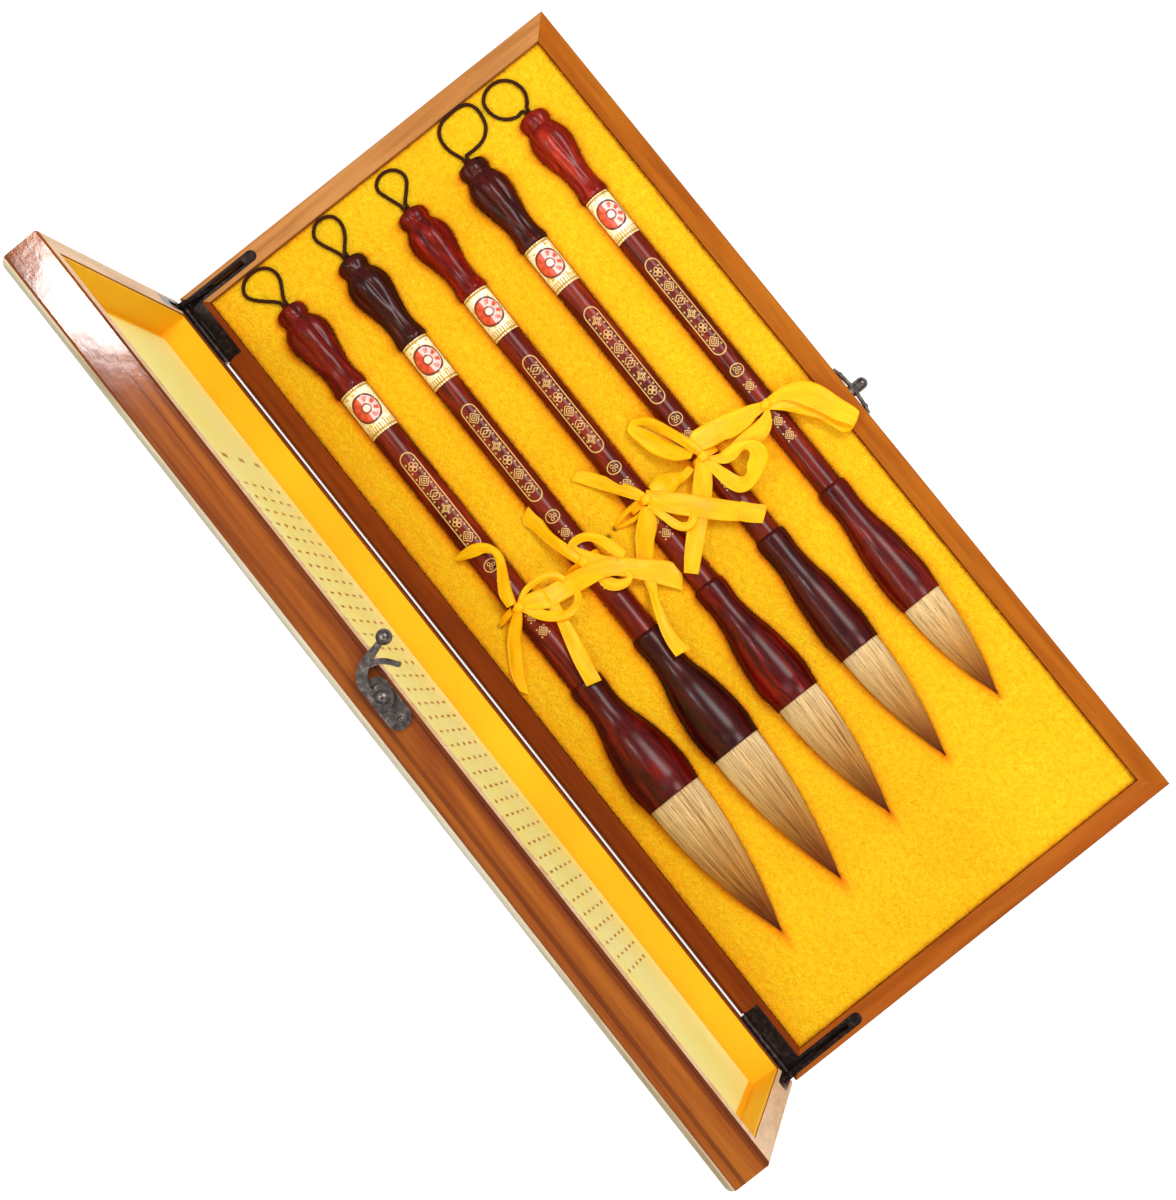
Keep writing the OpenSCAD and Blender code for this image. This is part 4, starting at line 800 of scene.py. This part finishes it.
gold_mat = plain_material("gold_ink", lin(226, 188, 112), 0.45, 0.1, 0.25)
PANEL_X0, PANEL_X1, PANEL_MARKS = 92.0, 43.5, 6
ROSETTE_X, LATTICE_X = 34.8, (26.6, 8.4, 1.2)
for b in range(5):
    points, faces = [], []
    half = min(3.3, SHAFT_D[b] / 2 * 0.62)
    # a panel with rounded ends, and motifs inside it
    right, left = PANEL_X0 - half, PANEL_X1 + half
    outline = [(right, -half), (left, -half)]
    outline += arc(left, 0, half, half, 16, 1.5 * math.pi, 0.5 * math.pi)
    outline += arc(right, 0, half, half, 16, 0.5 * math.pi, -0.5 * math.pi)
    stroke(b, outline, 0.52, points, faces)
    for k in range(PANEL_MARKS):
        cx = right - 3.2 - k * (PANEL_X0 - PANEL_X1 - 2 * half - 6.0) / (PANEL_MARKS - 1)
        for line in motif(cx, 0, 5.0, half * 1.5, (k + b) % 4):
            stroke(b, line, 0.36, points, faces)
    # a small rosette and lattice marks towards the bow
    stroke(b, arc(ROSETTE_X, 0, 2.5, half * 0.95), 0.45, points, faces)
    for k in range(3):
        a = 2 * math.pi * k / 3 + 0.5
        petal = arc(ROSETTE_X + 1.0 * math.cos(a), 1.1 * math.sin(a), 0.65, 0.65, 12)
        stroke(b, petal, 0.3, points, faces)
    for cx in LATTICE_X:
        for line in motif(cx, 0, 4.2, half * 1.3, 1):
            stroke(b, line, 0.34, points, faces)
    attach(make(f"gold_ornament_{b + 1}", points, faces, gold_mat), f"brush_{b + 1}")

# Hair
core_mat, strand_mat = hair_material("hair_core", 190, 0.4), hair_material("hair_strands", 90, 0.1)
STRANDS, STRAND_ROWS, STRAND_R = 620, 12, 0.17


def tuft(s):
    """Radius of a tuft, from 1 at the root (0) to 0 at the tip (1)."""
    return (1 - np.clip(s, 0, 1)**1.8) ** 0.95


def hair_core(b, root):
    """The inner body of a tuft, a little slimmer than the strands."""
    points, uv = [], []
    rows, sides = 46, 48
    for k in range(rows):
        s = k / (rows - 1) * 0.985
        for j in range(sides + 1):
            a = 2 * math.pi * j / sides
            ridge = 1 + 0.012 * math.sin(17 * a + 3 * b) + 0.010 * math.sin(29 * a + 7 * s)
            r = root * 0.965 * tuft(s) * ridge
            x = MOUTH_X + 0.5 - s * HAIR_L[b]
            points.append((x, BRUSH_Y[b] + r * math.cos(a), AXIS_Z + r * math.sin(a)))
            uv.append((s, j / sides))
    return make(f"hair_body_{b + 1}", points, grid(rows, sides + 1), core_mat, uv=uv)


def hair_strands(b, root):
    """Thin three-sided strands from the ferrule to the tip."""
    gen = np.random.default_rng(50 + b)
    points, faces, uv = [], [], []
    t = np.linspace(0, 1, STRAND_ROWS)
    rad = STRAND_R * (1 - t**3 * 0.75)
    for k in range(STRANDS):
        a = 2 * math.pi * (k + gen.uniform(-0.4, 0.4)) / STRANDS * 21 % (2 * math.pi)
        depth = 1.0 - 0.05 * gen.random() ** 2
        s = t * (0.90 + 0.115 * gen.random() ** 0.7)
        wave = gen.uniform(-0.05, 0.05)
        lift = gen.uniform(-0.012, 0.022)
        ang = a + wave * np.sin(math.pi * t) + gen.uniform(-0.03, 0.03) * t
        rr = root * depth * (tuft(s) + lift * np.sin(math.pi * t)) + 0.05
        start = len(points)
        for i in range(STRAND_ROWS):
            out = np.array([0, math.cos(ang[i]), math.sin(ang[i])])
            over = np.array([0, -math.sin(ang[i]), math.cos(ang[i])])
            c = np.array([MOUTH_X + 0.4 - s[i] * HAIR_L[b], BRUSH_Y[b], AXIS_Z]) + rr[i] * out
            for q in range(3):
                f = 2 * math.pi * q / 3
                points.append(c + rad[i] * (math.cos(f) * out + math.sin(f) * over))
                uv.append((float(s[i]), (k * 0.618) % 1.0))
        faces += grid(STRAND_ROWS, 3, close=True, start=start)
        tip = start + 3 * (STRAND_ROWS - 1)
        faces.append([tip, tip + 1, tip + 2])
    return make(f"hair_strands_{b + 1}", points, faces, strand_mat, uv=uv)


for b in range(5):
    root = MOUTH_D[b] / 2 - 0.8
    for o in (hair_core(b, root), hair_strands(b, root)):
        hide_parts(f"brush_{b + 1}_hair")
        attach(o, f"brush_{b + 1}")


# Plush bed
def brush_radius(b, x):
    """Radius of brush b at each x, 0 past its ends."""
    r = np.zeros_like(x)
    m = (x <= KNOB_X) & (x > LABEL_X)
    r[m] = finial_radius(b)((KNOB_X - x[m]) / FINIAL_L)
    m = (x <= LABEL_X) & (x > FERRULE_X)
    r[m] = SHAFT_D[b] / 2 + 0.25
    m = (x <= FERRULE_X) & (x > MOUTH_X)
    r[m] = ferrule_radius(b)((FERRULE_X - x[m]) / FERRULE_L)
    m = (x <= MOUTH_X) & (x > MOUTH_X - HAIR_L[b])
    r[m] = (MOUTH_D[b] / 2 - 0.8) * tuft((MOUTH_X - x[m]) / HAIR_L[b])
    return r


# Length of the crease past each tip, and the holes through which the ribbons come
TIP_LINE = [12.0, 12.0, 10.0, 7.0, 5.0]
HOLES = [(14.0, 74.5), (15.0, 43.0), (16.0, 14.0), (17.0, -17.0), (17.0, -44.0), (14.0, 49.4),
         (15.0, 18.3), (17.0, -46.0), (17.0, -76.0)]


def plush_height(x, y):
    """Height of the pile at each (x, y), and how much painted orange shade and painted dark hole shade its
    colour gets there.
    """
    p = np.stack([x, y, np.zeros_like(x)], 1)
    near = np.full(len(x), 99.0)
    side = np.zeros(len(x))
    floor_z = np.full(len(x), 99.0)
    faded = np.ones(len(x))
    for b in range(5):
        r = brush_radius(b, x)
        past = (MOUTH_X - HAIR_L[b] + 1 - x) / TIP_LINE[b]
        tip = (past > 0) & (past < 1)
        r = np.where(tip, np.maximum(r, 0.8 * (1 - past)), r)
        full = np.where(r > 0, r + 0.12, 0)
        dy = np.abs(y - BRUSH_Y[b])
        depth = np.sqrt(np.maximum(full**2 - dy**2, 0))
        floor_z = np.where(dy < full, np.minimum(floor_z, AXIS_Z - depth), floor_z)
        closer = (r > 0) & (dy - full < near)
        side = np.where(closer, np.sign(y - BRUSH_Y[b]), side)
        near = np.where(closer, dy - full, near)
        faded = np.where(closer, np.where(tip, 1 - past, 1), faded)
    # the pile climbs the brushes to their widest line and rounds over at the walls
    gone = np.clip(near, 0, None)
    z = PLUSH_Z + (AXIS_Z - PLUSH_Z) * np.exp(-(gone / 1.1) ** 2)
    z = np.minimum(z, floor_z)
    wall = np.clip(np.minimum(INNER_X - np.abs(x), INNER_Y - np.abs(y)), 0, None)
    z = z - 0.3 * np.exp(-(wall / 0.7) ** 2)
    hole = np.full(len(x), 99.0)
    for hx, hy in HOLES:
        d = np.hypot(x - hx, y - hy)
        hole = np.minimum(hole, d)
        z = z - 1.0 * np.exp(-(d / 1.1) ** 4) - 0.3 * np.exp(-(d / 3.2) ** 2)
    z = z + 0.20 * noise3(p, 0.55, 1) + 0.26 * noise3(p, 1.05, 2) + 0.16 * noise3(p, 0.06, 3)
    # Painted shade: orange beside each brush, more on its back side, fading along the tip creases and down
    # into the troughs, also at the walls and towards the back wall; dark brown in the ribbon holes
    under = np.exp(-(np.clip(-near, 0, None) / 2.0) ** 2)
    warm = faded * under * np.where(side > 0, np.exp(-gone / 1.9), 0.9 * np.exp(-gone / 1.3))
    back = np.clip(INNER_Y - y, 0, None)
    warm = np.maximum(warm, np.maximum(0.9 * np.exp(-wall / 0.8), 0.4 * np.exp(-back / 4.0)))
    deep = 0.9 * np.exp(-(hole / 1.2) ** 4)
    return z, warm, deep


def shade(obj, **layers):
    """Named float attributes on the first points of a mesh, 0 on the rest."""
    for key, values in layers.items():
        full = np.zeros(len(obj.data.vertices), np.float32)
        full[:len(values)] = values
        obj.data.attributes.new(name=key, type="FLOAT", domain="POINT").data.foreach_set("value", full)


PILE_STEP, SKIRT_Z = 0.72, 33.0
plush_mat = plush_material()
nx, ny = int(2 * INNER_X / PILE_STEP), int(2 * INNER_Y / PILE_STEP)
gx, gy = np.linspace(-INNER_X, INNER_X, nx), np.linspace(-INNER_Y, INNER_Y, ny)
px, py = (m.ravel() for m in np.meshgrid(gx, gy, indexing="ij"))
place_3d = np.stack([px, py, np.zeros_like(px)], 1)
free = (np.abs(px) < INNER_X - 0.1) & (np.abs(py) < INNER_Y - 0.1)
qx = px + np.where(free, 0.22 * noise3(place_3d, 0.9, 5), 0)
qy = py + np.where(free, 0.22 * noise3(place_3d, 0.9, 6), 0)
pz, warm, deep = plush_height(qx, qy)
pts = np.stack([qx, qy, pz], 1)
border = [i * ny for i in range(nx)] + [(nx - 1) * ny + j for j in range(1, ny)]
border += [i * ny + ny - 1 for i in range(nx - 2, -1, -1)] + list(range(ny - 2, 0, -1))
skirt = pts[border].copy()
skirt[:, 2] = SKIRT_Z
faces = grid(nx, ny)
for k, a in enumerate(border):
    n = (k + 1) % len(border)
    faces.append((a, len(pts) + k, len(pts) + n, border[n]))
bed = make("plush_bed", np.vstack([pts, skirt]), faces, plush_mat)
shade(bed, warm=warm, deep=deep)
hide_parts("plush_cover")
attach(bed, "base")

# Pile that stands out along the brushes and the walls
ALONG_BRUSH, ALONG_X, ALONG_Y = 3000, 2400, 1200
tuft_x, tuft_y, towards = [], [], []
for b in range(5):
    xs = rng.uniform(MOUTH_X - HAIR_L[b] - 2, KNOB_X + 1, ALONG_BRUSH)
    r = brush_radius(b, xs)
    sides = rng.choice([-1.0, 1.0], ALONG_BRUSH)
    towards.append(-sides)
    tuft_x.append(xs)
    tuft_y.append(BRUSH_Y[b] + sides * (r + 0.1 + 1.5 * rng.random(ALONG_BRUSH) ** 2))
tuft_x.append(rng.uniform(-INNER_X, INNER_X, ALONG_X))
tuft_y.append(rng.choice([-1.0, 1.0], ALONG_X) * (INNER_Y + 0.15 - 0.9 * rng.random(ALONG_X)))
tuft_y.append(rng.uniform(-INNER_Y, INNER_Y, ALONG_Y))
tuft_x.append(rng.choice([-1.0, 1.0], ALONG_Y) * (INNER_X + 0.15 - 0.9 * rng.random(ALONG_Y)))
tx, ty = np.concatenate(tuft_x), np.concatenate(tuft_y)
pull = np.concatenate(towards + [np.zeros(ALONG_X + ALONG_Y)])
keep = (np.abs(tx) < INNER_X + 0.3) & (np.abs(ty) < INNER_Y + 0.3)
tx, ty, pull = tx[keep], ty[keep], pull[keep]
tz, tuft_warm_painted_shade, tuft_hole_painted_shade = plush_height(tx, ty)
wall = np.minimum(INNER_X - np.abs(tx), INNER_Y - np.abs(ty))
lean = rng.uniform(0, 2 * np.pi, len(tx))
size = rng.uniform(0.4, 1.0, len(tx))
pull = pull * rng.uniform(0, 0.9, len(tx))
top = np.maximum(tz, np.where(wall < 1.2, PLUSH_Z, tz)) + 0.7 * size
tips = np.stack([tx + 0.4 * size * np.cos(lean), ty + 0.4 * size * np.sin(lean) + pull, top], 1)
points, faces, w, d = [], [], [], []
for k in range(len(tx)):
    n = len(points)
    for q in range(3):
        a = lean[k] + 2 * math.pi * q / 3
        points.append((tx[k] + 0.26 * math.cos(a), ty[k] + 0.26 * math.sin(a), tz[k] - 0.25))
    points.append(tips[k])
    faces += [(n, n + 1, n + 3), (n + 1, n + 2, n + 3), (n + 2, n, n + 3)]
    # Each tuft carries the painted shade of the pile under it, half of it at its tip
    w += [tuft_warm_painted_shade[k]] * 3 + [0.5 * tuft_warm_painted_shade[k]]
    d += [tuft_hole_painted_shade[k]] * 3 + [0.35 * tuft_hole_painted_shade[k]]
pile = make("plush_pile", points, faces, plush_mat)
pile.data.normals_split_custom_set_from_vertices([(0, 0, 1)] * len(points))
shade(pile, warm=w, deep=d)
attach(pile, "base")

# Ribbons: strips traced in the photograph's plane on a grid of about 2.9 units a mm, the box's far
# corner at GRID_AT, and carried along the camera's rays to their height over the plush
satin = satin_material()
GRID_AT, GRID_CORNER, GRID_PER_MM = (228.3, 173), (200, -94.2), (2.891, 2.898)
EYE_X, EYE_Y, EYE_OVER_RIM = -103.245, 38.4, 1145.9


def place(x, y, z):
    """From the measuring grid (x, y) and a height over the plush to the CAD frame."""
    top = PLUSH_Z + z
    rx = GRID_CORNER[0] - (x - GRID_AT[0]) / GRID_PER_MM[0]
    ry = GRID_CORNER[1] + (y - GRID_AT[1]) / GRID_PER_MM[1]
    k = 1 - (top - RIM_Z) / EYE_OVER_RIM
    return (EYE_X + (rx - EYE_X) * k, EYE_Y + (ry - EYE_Y) * k, top)


# Stations of each bow's strips: one edge's x, y and height, then the other edge's
STRIPS = {
    5: [
        [(753, 262, 6.9, 762, 262, 6.9), (752, 245, 7.5, 765, 243, 7.3), (754, 226, 8.5, 776, 231, 7.6),
         (763, 208, 9, 789, 224, 7.4), (780, 196, 9.2, 804, 216, 7.6), (805, 188, 8.6, 822, 208, 7.6),
         (827, 181, 7.4, 839, 198, 6.8), (832, 184, 6.2, 842, 204, 5.8), (820, 197, 4.8, 836, 212, 4.8),
         (796, 209, 4.6, 811, 221, 5.2), (779, 222, 5.2, 791, 236, 6.0), (766, 242, 6.4, 774, 250, 7.0),
         (757, 256, 7.0, 763, 262, 7.2)],
        [(754, 258, 7.4, 762, 262, 7.2), (747, 272, 7.2, 762, 276, 6.8), (740, 290, 5.2, 765, 292, 4.8),
         (735, 309, 4.6, 764, 311, 4.2), (732, 322, 5.0, 760, 323, 4.6)],
        [(757, 258, 7.2, 770, 262, 7.0), (764, 270, 6.8, 781, 270, 6.4), (766, 285, 5.4, 788, 284, 5.0),
         (766, 303, 5.0, 786, 303, 4.6), (768, 320, 5.4, 781, 322, 5.0)],
    ],
    4: [
        [(732, 320, 5.0, 760, 321, 4.8), (730, 334, 6.6, 758, 336, 6.8), (729, 346, 7.4, 755, 347, 7.8),
         (734, 358, 7.8, 753, 358, 8.4)],
        [(768, 318, 5.4, 781, 320, 5.0), (769, 334, 7.2, 778, 334, 7.2), (763, 350, 8.2, 771, 350, 8.0)],
        [(757, 349, 8.2, 757, 358, 8.0), (738, 352, 8.8, 742, 363, 7.2), (712, 361, 7.8, 716, 372, 5.2),
         (690, 371, 6.4, 696, 380, 3.4), (678, 382, 4.6, 685, 388, 1.6), (674, 394, 2.6, 683, 394, 0.8),
         (682, 405, 3.0, 686, 391, 0.9), (700, 403, 4.2, 700, 383, 1.2), (722, 397, 5.6, 716, 375, 2.2),
         (742, 384, 7.0, 736, 367, 4.4), (752, 367, 8.2, 749, 357, 7.0)],
        [(762, 360, 7.8, 764, 350, 8.2), (785, 358, 8.0, 785, 343, 8.6), (805, 355, 8.8, 799, 338, 8.2),
         (819, 347, 10, 806, 334, 8.4), (823, 332, 10.8, 806, 327, 8.8), (817, 311, 10.8, 799, 321, 8.6),
         (808, 296, 9.8, 793, 312, 7.8), (795, 290, 8.8, 787, 309, 7.0), (780, 297, 7.8, 782, 313, 6.6),
         (769, 318, 7.8, 785, 326, 6.8), (768, 340, 8.2, 782, 339, 7.2), (764, 352, 8.4, 772, 350, 8.0)],
        [(763, 351, 8.2, 756, 362, 7.8), (780, 358, 7.4, 769, 376, 6.6), (797, 371, 5.8, 782, 389, 5.0),
         (815, 390, 5.0, 800, 408, 4.6), (826, 402, 5.2, 811, 420, 5.0)],
        [(827, 352, 6.4, 842, 370, 5.6), (836, 345, 7.2, 851, 362, 6.9), (850, 331, 7.0, 863, 349, 7.3)],
    ],
    3: [
        [(748, 430, 8, 760, 442, 7.6), (768, 410, 7.6, 786, 426, 7.8), (788, 389, 6.4, 806, 408, 6.4),
         (812, 368, 5.6, 829, 386, 5.4), (829, 352, 6.2, 844, 369, 5.6)],
        [(765, 443, 8, 763, 436, 8), (785, 438, 8.6, 783, 429, 7.8), (802, 434, 8.6, 798, 424, 7.6),
         (813, 426, 8.6, 805, 420, 7.6), (816, 415, 8.2, 806, 414, 7.2), (811, 404, 7.2, 801, 408, 6.6),
         (797, 402, 6.4, 792, 409, 6.4), (780, 412, 7, 780, 420, 7)],
        [(755, 432, 8, 757, 442, 8), (738, 438, 7.6, 743, 452, 6.6), (718, 450, 5.0, 724, 465, 3.6),
         (698, 463, 2.6, 704, 479, 1.6), (680, 477, 1.2, 686, 491, 0.8)],
        [(765, 439, 8, 760, 447, 8), (785, 443, 7.2, 770, 460, 5.6), (800, 459, 4.6, 783, 474, 3.6),
         (815, 472, 2.6, 800, 486, 1.8), (828, 484, 1.4, 814, 499, 1.0)],
        [(750, 443, 7.4, 757, 446, 7.4), (751, 462, 3.4, 757, 464, 3.4), (756, 480, 0.6, 760, 481, 0.6),
         (758, 486, -1.8, 761, 486, -1.8)],
        [(762, 443, 7.4, 768, 444, 7.2), (764, 462, 3.2, 769, 463, 3.2), (761, 480, 0.6, 765, 481, 0.6),
         (760, 486, -1.8, 763, 486, -1.8)],
        [(747, 426, 7.8, 768, 428, 7.6), (744, 412, 5.6, 771, 410, 5.2), (749, 398, 2.2, 768, 398, 2.0),
         (757, 386, 4.6, 768, 386, 4.4), (757, 374, 6.0, 765, 372, 5.8)],
        [(817, 392, 5.0, 803, 410, 4.6), (832, 409, 6.8, 818, 426, 6.8), (848, 427, 7.4, 834, 442, 7.4),
         (863, 444, 7.4, 851, 456, 6.9)],
    ],
    2: [
        [(763, 597, 7.6, 787, 600, 7.6), (768, 570, 5.6, 791, 573, 5.6), (771, 548, 7.4, 795, 550, 7.4),
         (776, 527, 8.6, 798, 532, 8.8), (788, 506, 7.8, 806, 518, 8.2), (806, 486, 5.4, 824, 502, 5.4),
         (824, 466, 3.2, 843, 487, 3.0), (842, 452, 1.6, 866, 470, 1.6)],
        [(790, 492, 7.6, 795, 503, 7.2), (770, 497, 9.2, 776, 509, 8.0), (752, 506, 10, 760, 514, 8.4),
         (741, 520, 9.8, 751, 523, 8.2), (739, 536, 8.6, 749, 533, 7.6), (748, 546, 7.2, 754, 537, 7.4),
         (762, 543, 7.4, 763, 534, 7.6), (772, 540, 8, 770, 532, 8)],
        [(745, 548, 6.4, 742, 538, 7.0), (765, 541, 7.6, 757, 530, 7.6), (785, 527, 8.0, 778, 515, 8.0),
         (797, 512, 7.6, 790, 503, 7.6)],
        [(796, 540, 7.0, 796, 528, 7.2), (810, 538, 7.4, 804, 524, 7.4), (820, 528, 8.4, 811, 518, 7.6),
         (823, 514, 8.4, 814, 512, 7.6), (816, 504, 7.6, 810, 511, 7.2), (803, 507, 7.2, 802, 516, 7)],
        [(812, 478, 2.4, 809, 495, 2.4), (840, 488, 4.2, 838, 500, 4.0), (862, 500, 7.0, 860, 509, 7.0),
         (890, 506, 8.8, 886, 519, 8.8), (910, 507, 10.0, 905, 523, 9.8),
         (925, 505, 11.2, 921, 524, 11.0)],
        [(768, 536, 8, 770, 545, 7.6), (745, 540, 8, 748, 553, 6.8), (720, 546, 6.8, 722, 559, 4.2),
         (700, 546, 4.8, 702, 563, 2.2), (686, 543, 3.6, 692, 566, 1.4), (675, 541, 3.0, 684, 563, 1.2)],
        [(764, 543, 7.0, 770, 545, 7.0), (764, 556, 2.4, 770, 558, 2.4), (768, 566, 0.2, 772, 567, 0.2),
         (770, 572, -1.6, 773, 572, -1.6)],
    ],
    1: [
        [(763, 596, 7.6, 788, 600, 7.6), (760, 603, 8.6, 784, 607, 8.6), (757, 616, 8.8, 775, 620, 8.8),
         (758, 630, 8.6, 767, 632, 8.6)],
        [(758, 630, 8.2, 763, 628, 8.2), (749, 614, 9.2, 756, 612, 8.6), (748, 597, 9.8, 755, 597, 8.8),
         (751, 581, 9.6, 758, 583, 8.4), (759, 570, 8.6, 764, 576, 7.6), (770, 566, 7.4, 771, 573, 7.0)],
        [(766, 632, 8.4, 768, 624, 8.2), (785, 624, 9.4, 781, 612, 8.4), (799, 612, 10.2, 791, 603, 8.8),
         (808, 596, 10.6, 799, 592, 9.0), (809, 580, 9.8, 800, 581, 8.4), (801, 567, 8.2, 796, 574, 7.4),
         (790, 562, 6.8, 790, 570, 6.6)],
        [(780, 590, 6.4, 780, 604, 6.8), (803, 593, 8.0, 803, 607, 8.0), (830, 597, 8.6, 828, 614, 8.6),
         (858, 602, 9.4, 855, 621, 9.4), (889, 608, 10.4, 884, 626, 10.2)],
        [(757, 630, 8.4, 755, 642, 7.4), (738, 623, 10.6, 738, 640, 8.0),
         (720, 614, 12.4, 722, 630, 9.6), (706, 608, 13.2, 709, 621, 11.0),
         (694, 608, 12.8, 697, 617, 11.0), (681, 614, 11, 689, 622, 9.6), (672, 626, 8.6, 686, 632, 7.8),
         (670, 641, 5.0, 681, 644, 4.2), (671, 653, 2.2, 677, 652, 1.8)],
        [(766, 629, 8.4, 760, 634, 8.4), (779, 638, 7.4, 770, 648, 5.2), (795, 652, 4.6, 784, 664, 2.8),
         (815, 665, 2.8, 803, 678, 1.4), (834, 676, 1.4, 822, 687, 1.0),
         (850, 684, 1.1, 840, 690.5, 1.0)],
        [(757, 638, 7.2, 765, 640, 7.2), (759, 650, 3.6, 767, 651, 3.6), (763, 659, 0.6, 768, 659, 0.6),
         (766, 664, -1.8, 769, 664, -1.8)],
    ],
}
KNOTS = {5: (757, 260, 7.6), 4: (759, 354, 8.6), 3: (757, 437, 8.4), 2: (768, 539, 8.2), 1: (763, 631, 8.8)}
STRIP_STEPS, STRIP_COLS, SATIN_HALF = 9, 9, 0.10


def ribbon_strip(stations, points, faces, uv, seed):
    """A satin strip between two traced edges, with a crowned middle and soft creases."""
    st = spline(stations, STRIP_STEPS)
    a = np.array([place(*p[:3]) for p in st])
    c = np.array([place(*p[3:]) for p in st])
    mid, across = (a + c) / 2, c - a
    run = np.concatenate([[0], np.cumsum(np.linalg.norm(np.diff(mid, axis=0), axis=1))])
    tan = np.gradient(mid, axis=0)
    tan /= np.linalg.norm(tan, axis=1)[:, None] + 1e-9
    nor = np.cross(tan, across)
    nor /= np.linalg.norm(nor, axis=1)[:, None] + 1e-9
    nor[nor[:, 2] < 0] *= -1
    for i in range(1, len(nor)):
        if nor[i] @ nor[i - 1] < 0:
            nor[i] = -nor[i]
    start, rows, cols = len(points), len(st), STRIP_COLS
    top, low, sheet_uv = [], [], []
    for i in range(rows):
        for j in range(cols):
            t = j / (cols - 1)
            crown = 0.42 * math.sin(math.pi * t)
            crease = 0.26 * math.sin(run[i] * 0.3 + seed) * math.sin(2 * math.pi * t + seed * 1.7)
            p = a[i] + across[i] * t
            top.append(p + nor[i] * (crown + crease + SATIN_HALF))
            low.append(p + nor[i] * (crown + crease - SATIN_HALF))
            sheet_uv.append((run[i] / 60.0 + seed, t * 0.14))
    points += top + low
    uv += sheet_uv * 2
    n = rows * cols
    faces += grid(rows, cols, start=start) + grid(rows, cols, start=start + n, flip=True)
    for i in range(rows - 1):
        for j in (0, cols - 1):
            p, q = start + i * cols + j, start + (i + 1) * cols + j
            faces.append((p, q, q + n, p + n) if j else (q, p, p + n, q + n))
    for i in (0, rows - 1):
        for j in range(cols - 1):
            p, q = start + i * cols + j, start + i * cols + j + 1
            faces.append((q, p, p + n, q + n) if i else (p, q, q + n, p + n))


def knot(cx, cy, z, points, faces, uv, seed):
    """The drawn-in knot: a small wrapped pad with folds running over it."""
    x, y, h = place(cx, cy, z)
    start, rows, cols = len(points), 14, 20
    for i in range(rows):
        v = math.pi * i / (rows - 1)
        for j in range(cols):
            u = 2 * math.pi * j / cols
            f = math.sin(v) * (1 + 0.10 * math.sin(5 * u + seed) + 0.06 * math.sin(3 * v + 2 * u))
            px, py = x + 2.1 * f * math.cos(u), y + 2.3 * f * math.sin(u)
            points.append((px, py, h + 0.2 + 1.25 * math.cos(v)))
            uv.append((0.3 * u, 0.1 * v))
    faces += grid(rows, cols, close=True, start=start)


def satin_piece(name, b, points, faces, uv):
    """A piece of the ribbon of brush b."""
    o = make(name, points, faces, satin, uv=uv)
    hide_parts(f"ribbon_{b}")
    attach(o, "base")
    return o


BAND_HALF_TURN = 118


def band(b, points, faces, uv):
    """The part of the ribbon that goes over the shaft, from bed to bed."""
    r = SHAFT_D[b - 1] / 2 + 0.3
    kx = place(*KNOTS[b])[0]
    start, rows, cols = len(points), 41, 5
    for i in range(rows):
        a = math.radians(BAND_HALF_TURN * (2 * i / (rows - 1) - 1))
        for j in range(cols):
            t = j / (cols - 1) - 0.5
            w = t * (3.0 if abs(a) < 1.2 else 2.6)
            out = r + 0.12 * math.cos(math.pi * t)
            points.append((kx + w, BRUSH_Y[b - 1] + out * math.sin(a), AXIS_Z + out * math.cos(a)))
            uv.append((0.1 * a, (t + 0.5) * 0.1))
    faces += grid(rows, cols, start=start)


# A bow sinks to the bed as its brush is lifted, but for two loose strips: bow 3's lies over brush 4,
# and bow 5's hangs over the front rim and is pushed in by the closing lid
LOOSE = {3: "satin_end_3", 5: "satin_end_5"}
for b in range(1, 6):
    points, faces, uv = [], [], []
    for k, st in enumerate(STRIPS[b]):
        if k == 0 and b in LOOSE:
            loose = [], [], []
            ribbon_strip(st, *loose, 1.3 * b)
            end = satin_piece(LOOSE[b], b, *loose)
            if b == 5:
                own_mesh(end)
        else:
            ribbon_strip(st, points, faces, uv, 1.3 * b + 0.7 * k)
    knot(*KNOTS[b], points, faces, uv, b)
    band(b, points, faces, uv)
    bow = satin_piece(f"satin_bow_{b}", b, points, faces, uv)
    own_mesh(bow)
